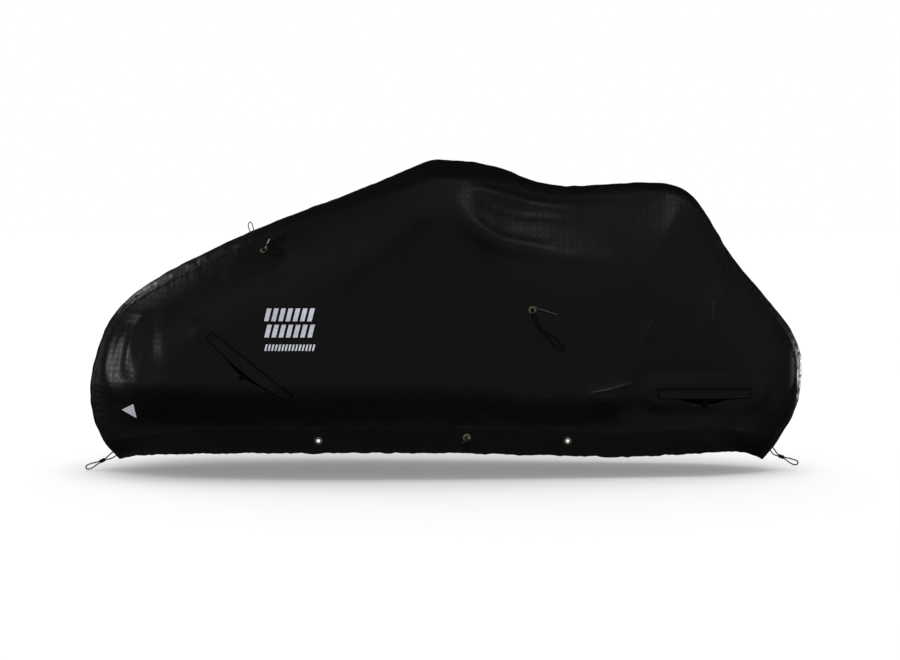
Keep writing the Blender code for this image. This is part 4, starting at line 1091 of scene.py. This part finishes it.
FLAP_THICKNESS = 0.0016
FLAP_BOWS = {"front": 0.0125, "rear": 0.0030}   # how far the free edge bows down over the slit
FLAP_LIFT = 0.0016          # how far the free edge stands off the panel, on the whole
FLAP_RIPPLE = 0.0008        # and how much that varies along it
FLAP_HEM = 0.0075           # its edges are turned in this far, and are thicker there
FLAP_HEM_LIFT = 0.0006
FLAP_ROUNDING = 0.0005
PAINTED_SHADE_REACH = 0.0045        # painted shade darkens a flap's colour and gloss this far from its edge, for the shadow of its step
TAB_PLACE = 0.004
TAB_WIDTH = 0.018
TAB_LENGTH = 0.034
TAB_THICKNESS = 0.0016
TAB_RISE = 0.0012           # how far its lower end stands off the panel
TAB_ROUNDING = 0.0004

webbing, tree, shader = new_finish("woven_webbing", (0.0020, 0.0020, 0.0020), 0.85, specular=0.08)
rib_place = node(tree, "ShaderNodeSeparateXYZ", {0: map_place(tree)})
ribs = calc(tree, "SINE", calc(tree, "MULTIPLY", rib_place.outputs["Y"], 2 * math.pi / 0.0012))
cross_ribs = calc(tree, "SINE", calc(tree, "MULTIPLY", rib_place.outputs["X"], 2 * math.pi / 0.0020))
connect(tree, shader, Normal=bump(tree, calc(tree, "MULTIPLY", ribs, cross_ribs), 0.00012, 0.9))


def slab(name, on, s, t, bottom, top, *finishes):
    """A thin sheet over a grid of s and t in a frame, between two heights."""
    low, high = ([on @ Vector(point) for point in zip(s.ravel(), t.ravel(), height.ravel())]
                 for height in (bottom, top))
    piece = new_solid(name, high + low, closed_sheet(*s.shape), *finishes, sharp=60.0)
    lay_map(piece, np.stack((s.ravel(), t.ravel()), axis=1))
    return piece


def cloth_above_plane(name, on, side, s, t):
    """How far the draped cloth stands proud of a flap's plane, over a grid in the flap's frame."""
    places = np.array([on @ Vector((a, b, 0.0)) for a, b in zip(s.ravel(), t.ravel())])
    width = half_width(places[:, 0], places[:, 2])
    _, _, _, slope_x, slope_z = FLAP_PLACES[name]
    proud = (width - side * places[:, 1]) / math.sqrt(1 + slope_x ** 2 + slope_z ** 2)
    return proud.reshape(s.shape)


for side, sign in SIDES:
    for name in FLAP_LINES:
        length, width = flap_length(name), FLAP_WIDTHS[name]
        on = flap_frame(name, sign)
        v, s = np.meshgrid(np.linspace(0.0, 1.0, 21), np.linspace(-length / 2, length / 2, 110))
        bow = FLAP_BOWS[name] * np.clip(1 - (s / (length / 2 - SLIT_INSET)) ** 2, 0.0, 1.0) ** 1.5
        t = -width / 2 - bow + (width + bow) * v
        free = smooth_step((1 - v) * 1.1 - 0.1) * smooth_step((length / 2 - abs(s)) / 0.030)
        lift = free * (FLAP_LIFT + FLAP_RIPPLE * waves(s, t * 0.3, 51, 0.120, 0.040, 8))
        edge = np.minimum(np.minimum(v, 1 - v) * (width + bow), length / 2 - abs(s))
        turned_in = FLAP_HEM_LIFT * smooth_step((FLAP_HEM - edge) / 0.0015)
        seat = CLOTH / 2 + GAP
        rounding = FLAP_ROUNDING * (1 - smooth_step(edge / 0.002))
        bottom = seat + np.maximum(lift, 0.0) + cloth_above_plane(name, on, sign, s, t)
        top = bottom + FLAP_THICKNESS + turned_in - rounding
        flap = slab(f"lock_flap_{name}_{side}", on, s, t, bottom, top, coated)
        # Painted shade: each flap's colour is darkened along its edges, where its step would cast a thin
        # shadow.
        edge_shade = np.tile(smooth_step((PAINTED_SHADE_REACH - edge) / 0.0025).ravel(), 2)
        flap.data.attributes.new("painted_edge_shade", "FLOAT", "POINT").data.foreach_set("value", edge_shade)
        fit(flap, "cloth", f"flap_{name}_{side}")
        shows = TAB_LENGTH - FLAP_BOWS[name]
        t, s = np.meshgrid(np.linspace(-shows / 2, shows / 2, 25),
                           np.linspace(-TAB_WIDTH / 2, TAB_WIDTH / 2, 11))
        rise = TAB_RISE * smooth_step(0.5 - t / shows)
        rounding = TAB_ROUNDING * (1 - smooth_step((TAB_WIDTH / 2 - abs(s)) / 0.0015))
        drop = -width / 2 - FLAP_BOWS[name] - GAP - shows / 2
        tab = slab(f"pull_tab_{name}_{side}", on, s + TAB_PLACE, t + drop, seat + rise,
                   seat + rise + TAB_THICKNESS - rounding, webbing)
        fit(tab, "webbing", f"tab_{name}_{side}")

# ---- eyelets -------------------------------------------------------------------------------------
# Two-part brass eyelets of 12 mm bore. The barrel goes through the cloth and is rolled over a washer
# behind it, which grips the cloth between the two.

EYELET_BORE = 0.0060        # radius
EYELET_PROFILE = (
    # radius, height from the cloth's middle
    (EYELET_BORE, -0.0020), (EYELET_BORE, 0.0019), (0.0063, 0.0024), (0.0070, 0.0028), (0.0082, 0.0030),
    (0.0098, 0.0029), (0.0115, 0.0025), (0.0128, 0.0019), (0.0135, 0.0014), (0.0133, 0.0013),
    (0.0072, 0.0013), (0.0072, -0.0013), (0.0123, -0.0013), (0.0125, -0.0016), (0.0112, -0.0023),
    (0.0088, -0.0026), (0.0070, -0.0025),
)
EYELET_SIDES = 56

brass, tree, shader = new_finish("brass", (0.70, 0.56, 0.29), 0.24, metallic=1.0)
tarnish = noise(tree, object_place(tree), 260.0, 4.0)
connect(tree, shader, Base_Color=tones(tree, tarnish, (0.44, 0.37, 0.20), (0.78, 0.71, 0.50)),
        Roughness=ranged(tree, tarnish, target=(0.26, 0.44)), Normal=bump(tree, tarnish, 0.00005, 0.5))


def turned(name, profile, sides, on, closed, *finishes, sharp=40.0):
    """A piece turned from a profile of radius and height: a closed ring, or a solid with two ends."""
    points = []
    for radius, height in profile:
        points += [on @ Vector((x, y, height)) for x, y in circle(radius, sides)]
    rings = len(profile)
    faces = []
    for k in range(rings if closed else rings - 1):
        faces += band(k * sides, (k + 1) % rings * sides, sides)
    if not closed:
        faces += [tuple(range(sides)), tuple(range((rings - 1) * sides, rings * sides))]
    return new_solid(name, points, faces, *finishes, sharp=sharp)


for side, sign in SIDES:
    for name in EYELET_PLACES:
        eyelet = turned(f"brass_eyelet_{name}_{side}", EYELET_PROFILE, EYELET_SIDES,
                        eyelet_frame(name, sign), True, brass)
        fit(eyelet, "brass", f"eyelet_{name}_{side}")

# ---- knots, toggle bars and cord locks -----------------------------------------------------------
# Behind each eyelet a cord's ends are held in a small overhand knot. A slim moulded bar lies in the
# loop in front of it, and a two-hole lock of black nylon grips both strands of the longer cords.

KNOT_SCALE = 0.0022
KNOT_DEPTH = -0.0084
KNOT_STRETCH = 1.45
KNOT_STEPS = 72
BARS = {
    # eyelet: the bar's ends, to the right, up and out from the eyelet's middle
    "bow": ((0.0055, 0.0050, 0.0048), (0.0060, 0.0460, 0.0060)),
    "side": ((0.0040, 0.0105, 0.0048), (0.0860, -0.0160, 0.0060)),
    "hem_middle": ((-0.0160, -0.0180, 0.0050), (0.0130, -0.0060, 0.0050)),
}
BAR_SIDES = 24
BAR_PROFILE = (
    # radius, share of the bar's length
    (0.0009, 0.0), (0.0014, 0.008), (0.0017, 0.025), (0.0018, 0.30), (0.0022, 0.34), (0.0022, 0.38),
    (0.0018, 0.42), (0.0017, 0.90), (0.0014, 0.975), (0.0010, 0.99), (0.0006, 1.0),
)
LOCK_SIZE = (0.018, 0.0140, 0.0090)
LOCK_SLOT = (0.0112, 0.0060)
LOCK_TAPER = 0.16           # how much smaller its ends are, as a share
LOCK_WAIST = 0.09           # and its middle
LOCK_FLARE = 0.10           # how much its hole widens at both ends
LOCK_RIB = 0.00035          # height of the grip ribs
LOCK_RIBS = 9
LOCKS = {
    # the lock's middle, and the direction in which the cord runs through it
    "nose": ((-1.2140, DRAWCORD_Y, -1.0750), (-0.0550, 0.0, -0.0270)),
    "tail": ((1.2270, DRAWCORD_Y, -1.0605), (0.0560, 0.0, -0.0235)),
}
SIDE_LOCK = ((0.0320, -0.0685, 0.0080), (0.0750, -0.0700, 0.0))

moulding = {}
for label, worn_tone, clean_tone in (("pale", 0.26, 0.46), ("grey", 0.050, 0.095)):
    moulding[label], tree, shader = new_finish(f"{label}_moulding", (clean_tone,) * 3, 0.34)
    scuffs = noise(tree, object_place(tree), 420.0, 4.0)
    worn_colour, clean_colour = ((tone, tone, tone * 0.95) for tone in (worn_tone, clean_tone))
    connect(tree, shader, Normal=bump(tree, scuffs, 0.00004, 0.5),
            Base_Color=tones(tree, scuffs, worn_colour, clean_colour))

nylon, tree, shader = new_finish("black_nylon", (0.004, 0.004, 0.0042), 0.42, specular=0.25)
connect(tree, shader, Normal=bump(tree, noise(tree, object_place(tree), 1500.0, 2.0), 0.00003, 0.6))


def cord_lock(name, middle, along, across):
    """A moulded lock with a waist, grip ribs on both faces, and one oval hole for both strands."""
    along = along.normalized()
    out = along.cross(across).normalized()
    on = Matrix((out.cross(along), out, along)).transposed().to_4x4()
    on.translation = middle
    around, rings = 64, 37
    points = []
    for slot in (False, True):
        for k in range(rings):
            s = 2 * k / (rings - 1) - 1
            end = 1 - LOCK_TAPER * smooth_step((abs(s) - 0.86) / 0.14)
            waist = 1 - LOCK_WAIST * (1 - s * s) ** 2
            rib = LOCK_RIB * max(0.0, math.sin(LOCK_RIBS * math.pi * s))
            rib *= smooth_step((0.62 - abs(s)) / 0.05)
            width, height = (LOCK_SLOT if slot else LOCK_SIZE[1:])
            if not slot:
                width, height = width * end * waist, height * end
            else:
                flare = 1 + LOCK_FLARE * smooth_step((abs(s) - 0.90) / 0.10)
                width, height = width * flare, height * flare
            for i in range(around):
                turn = 2 * math.pi * i / around
                c, d = math.cos(turn), math.sin(turn)
                power = 0.5 if not slot else 0.75
                x = math.copysign(abs(c) ** power, c) * width / 2
                y = math.copysign(abs(d) ** power, d) * height / 2
                if not slot:
                    y += math.copysign(rib, d) * smooth_step((abs(d) - 0.5) / 0.3)
                points.append(on @ Vector((x, y, s * LOCK_SIZE[0] / 2)))
    faces = []
    half_way = around * rings
    for first in (0, half_way):
        for k in range(rings - 1):
            faces += band(first + k * around, first + (k + 1) * around, around)
    for ring in (0, (rings - 1) * around):
        faces += band(ring, half_way + ring, around)
    return new_solid(name, points, faces, nylon)


on_cord = {name: [] for name in cords}
for end, (middle, along) in LOCKS.items():
    along = Vector(along)
    lock = cord_lock(f"two_hole_lock_{end}", Vector(middle), along, Vector((-along.z, 0.0, along.x)))
    on_cord[end].append(fit(lock, "cord_lock", f"lock_{end}"))
for side, sign in SIDES:
    for name, (start, end) in BARS.items():
        on = eyelet_frame(name, sign)
        turn = np.linspace(0.0, 2 * math.pi, KNOT_STEPS + 1)[:-1]
        loop = np.stack((np.sin(turn) + 2 * np.sin(2 * turn), np.cos(turn) - 2 * np.cos(2 * turn),
                         -KNOT_STRETCH * np.sin(3 * turn)), axis=1) * KNOT_SCALE
        loop[:, 2] += KNOT_DEPTH
        places = [on @ Vector(point) for point in loop]
        knot, _ = braided_cord(f"overhand_knot_{name}_{side}", places)
        on_cord[f"{name}_{side}"].append(fit(knot, "elastic_cord", f"knot_{name}_{side}"))
        first, last = on @ Vector(start), on @ Vector(end)
        axis = last - first
        bar_on = axis.to_track_quat("Z", "Y").to_matrix().to_4x4()
        bar_on.translation = first
        profile = [(radius, share * axis.length) for radius, share in BAR_PROFILE]
        finish = moulding["pale" if name == "bow" else "grey"]
        bar = turned(f"toggle_bar_{name}_{side}", profile, BAR_SIDES, bar_on, False, finish)
        fit(bar, "toggle_bar", f"bar_{name}_{side}")
    on = eyelet_frame("side", sign)
    middle, along = SIDE_LOCK
    across = on.to_3x3() @ Vector((along[1], -along[0], 0.0))
    lock = cord_lock(f"two_hole_lock_side_{side}", on @ Vector(middle), on.to_3x3() @ Vector(along), across)
    on_cord[f"side_{side}"].append(fit(lock, "cord_lock", f"lock_side_{side}"))
for name, (cord, line) in cords.items():
    fit(cord, "elastic_cord", f"cord_{name}")

# ---- stitching -----------------------------------------------------------------------------------
# Lock stitch in bonded black polyester thread: two rows beside each of the gusset's seams, one along
# the top and one along the bottom of the hem facing, one round each flap, and bar tacks at its ends.

STITCH = 0.0034             # length of a stitch
STITCH_PITCH = 0.0044
THREAD = 0.0009
SEAM_ROWS = (0.0035, 0.0085)    # distance of the two rows from the seam
FACING_ROWS = (0.004, STRIP_HEIGHT - 0.0115)    # distance of its rows from the facing's top
FLAP_ROW = 0.0042           # distance of a flap's row from its edge
TACK_INSET = 0.0085         # distance of a bar tack's middle from the flap's end
TACK_WIDTH = 0.0030
TACK_TURNS = 18
TACK_SHARE = 0.94           # a tack's length, as a share of the way between a flap's two rows

thread, tree, shader = new_finish("bonded_thread", (0.010, 0.010, 0.010), 0.50, specular=0.40)
twist = noise(tree, object_place(tree), 1800.0, 2.0)
connect(tree, shader, Normal=bump(tree, twist, 0.00008, 0.7),
        Base_Color=tones(tree, twist, (0.005, 0.005, 0.005), (0.018, 0.018, 0.018)))

sewing_sizes = {"Pitch": STITCH_PITCH, "Length": STITCH, "Thread": THREAD, "Finish": thread}
sewing, sizes = node_tree("sew_along_lines", sewing_sizes)
onward = node(sewing, "GeometryNodeInputTangent")
turn = node(sewing, "FunctionNodeAlignEulerToVector", {"Vector": onward.outputs[0]}, axis="X")
stitch = node(sewing, "GeometryNodeMeshIcoSphere", {"Radius": 1.0, "Subdivisions": 1})
half_length = calc(sewing, "DIVIDE", sizes.outputs["Length"], 2.0)
half_thread = calc(sewing, "DIVIDE", sizes.outputs["Thread"], 2.0)
scale = node(sewing, "ShaderNodeCombineXYZ", {"X": half_length, "Y": half_thread, "Z": half_thread})
sewn = node(sewing, "GeometryNodeInstanceOnPoints", {
    "Points": even_line(sewing, sizes, "Pitch"), "Instance": stitch.outputs["Mesh"],
    "Rotation": turn.outputs[0], "Scale": scale.outputs[0]})
end_tree(sewing, sewn.outputs[0], sizes.outputs["Finish"])


def on_cloth(piece, places, side):
    """The points of a piece's outer face, seen from its side, at places of the side view."""
    shape = BVHTree.FromPolygons([v.co for v in piece.data.vertices],
                                 [face.vertices for face in piece.data.polygons])
    found = []
    for x, z in places:
        hit, out, _, _ = shape.ray_cast(Vector((x, side, z)), Vector((0.0, -side, 0.0)))
        if hit is not None:
            found.append((hit, out if out.y * side > 0 else -out))
    return found


def beside_seam(depth):
    """Places beside the gusset's seam, this far into the panel."""
    stations = np.linspace(STRIP_HEIGHT + 0.004, total_run - STRIP_HEIGHT - 0.004, 900)
    seam = on_seam(stations)
    return seam + inwards(seam) * depth


def flap_row(name):
    """A row round a flap, and the zigzags of its two bar tacks, along and across it."""
    end, low = flap_length(name) / 2 - FLAP_ROW, FLAP_WIDTHS[name] / 2 - FLAP_ROW
    row = [(s, low) for s in np.linspace(-end, end, 80)] + [(end, t) for t in np.linspace(low, -low, 8)]
    row += [(s, -low) for s in np.linspace(end, -end, 80)] + [(-end, t) for t in np.linspace(-low, low, 8)]
    tacks = []
    for way in (-1, 1):
        middle = way * (flap_length(name) / 2 - TACK_INSET)
        tacks.append([(middle + TACK_WIDTH * (0.5 if k % 2 else -0.5),
                       low * (2 * k / TACK_TURNS - 1) * TACK_SHARE) for k in range(TACK_TURNS + 1)])
    return row, tacks


for side, sign in SIDES:
    panel, hem = pieces[f"panel_{side}"], pieces[f"hem_{side}"]
    rows = [(panel, beside_seam(depth)) for depth in SEAM_ROWS]
    for depth in FACING_ROWS:
        share = depth / STRIP_HEIGHT
        facing_row = upper + (lower - upper) * share
        rows.append((hem, facing_row[4:-4]))
    zigzags = []
    for name in FLAP_LINES:
        on = flap_frame(name, sign)
        row, tacks = flap_row(name)
        flap = bpy.data.objects[f"lock_flap_{name}_{side}"]
        for outline, kept in [(row, rows)] + [(tack, zigzags) for tack in tacks]:
            places = [on @ Vector((s, t, 0.0)) for s, t in outline]
            kept.append((flap, [(place.x, place.z) for place in places]))
    for label, group, pitch in (("seam_stitches", rows, STITCH_PITCH), ("bar_tacks", zigzags, TACK_WIDTH)):
        points, edges = [], []
        for piece, places in group:
            found = [tuple(hit + out * THREAD * 0.12) for hit, out in on_cloth(piece, places, sign)]
            edges += [(len(points) + k, len(points) + k + 1) for k in range(len(found) - 1)]
            points += found
        host = new_piece(f"{label}_{side}", points, [], edges=edges)
        fit(apply_tree(host, sewing, {**sewing_sizes, "Pitch": pitch}), "cloth")

# ---- printed marks -------------------------------------------------------------------------------
# Retroreflective transfer film, heat-pressed on each panel: an arrow that points to the nose, and
# rows of slanted bars higher up.

FILM = 0.0003               # how far the film stands proud of the cloth
FILM_STEP = 0.0030
ARROW = ((-1.117, -0.873), (-1.068, -0.847), (-1.062, -0.900))
ARROW_TIP = 0.004           # how blunt its tip is, as a share of its size
BAR_ROWS = (
    # first and last x, top and bottom z, pitch and width of the bars
    (-0.598, -0.414, -0.504, -0.548, 0.0245, 0.0155),
    (-0.598, -0.414, -0.560, -0.604, 0.0245, 0.0155),
    (-0.598, -0.424, -0.628, -0.650, 0.0116, 0.0062),
)
BAR_SLANT = 0.26            # how far a bar leans to the tail, as a share of its height

film, tree, shader = new_finish("reflective_film", (0.80, 0.83, 0.90), 0.42, specular=0.50)
place = object_place(tree)
beads = node(tree, "ShaderNodeTexVoronoi", {"Vector": place, "Scale": 900.0}).outputs["Distance"]
patches = noise(tree, place, 120.0, 5.0)
connect(tree, shader, Normal=bump(tree, beads, 0.00006, 0.5),
        Base_Color=tones(tree, patches, (0.62, 0.64, 0.72), (0.84, 0.87, 0.96), (0.25, 0.6)))


def pressed_on(panel, side, corners, points, faces):
    """Add a four-cornered patch of film over a panel, as a thin closed sheet."""
    a, b, c, d = (np.array(corner) for corner in corners)
    columns = max(2, math.ceil(max(np.linalg.norm(b - a), np.linalg.norm(c - d)) / FILM_STEP) + 1)
    rows = max(2, math.ceil(max(np.linalg.norm(d - a), np.linalg.norm(c - b)) / FILM_STEP) + 1)
    u, v = np.meshgrid(np.linspace(0, 1, columns), np.linspace(0, 1, rows))
    u, v = u[..., None], v[..., None]
    places = ((1 - v) * ((1 - u) * a + u * b) + v * ((1 - u) * d + u * c)).reshape(-1, 2)
    found = on_cloth(panel, places, side)
    faces += closed_sheet(rows, columns, len(points))
    points += [tuple(hit + out * FILM) for hit, out in found]
    points += [tuple(hit - out * FILM * 0.5) for hit, out in found]


for side, sign in SIDES:
    panel = pieces[f"panel_{side}"]
    points, faces = [], []
    nose, top, bottom = (np.array(corner) for corner in ARROW)
    near = nose + (top + bottom - 2 * nose) * ARROW_TIP
    tip = (top - bottom) * ARROW_TIP
    pressed_on(panel, sign, (near + tip, top, bottom, near - tip), points, faces)
    for first_x, last_x, top_z, bottom_z, pitch, width in BAR_ROWS:
        lean = BAR_SLANT * (top_z - bottom_z)
        for k in range(round((last_x - first_x - lean) / pitch)):
            x = first_x + k * pitch
            pressed_on(panel, sign, ((x + lean, top_z), (x + lean + width, top_z), (x + width, bottom_z),
                                     (x, bottom_z)), points, faces)
    fit(new_solid(f"reflective_marks_{side}", points, faces, film), "cloth")

# ---- sheets before sewing ------------------------------------------------------------------------
# Each sheet's width and length before it is sewn, its area and what it rests on, looked up for each piece.

SHEETS = {
    # a sheet's width and length before it is sewn, its area, and what it rests on
    "panel": ((1.08, 2.46), 1.957, lambda side: ["cloth_gusset"]),
    "hem": ((0.10, 2.44), 0.206, lambda side: [f"cloth_panel_{side}"]),
    "gusset": ((0.53, 3.90), 0.951, lambda side: ["cloth_panel_left", "cloth_panel_right"]),
}
for name, piece in pieces.items():
    kind, _, side = name.partition("_")
    flat, area, rests_on = SHEETS[kind]
    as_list(rests_on(side))
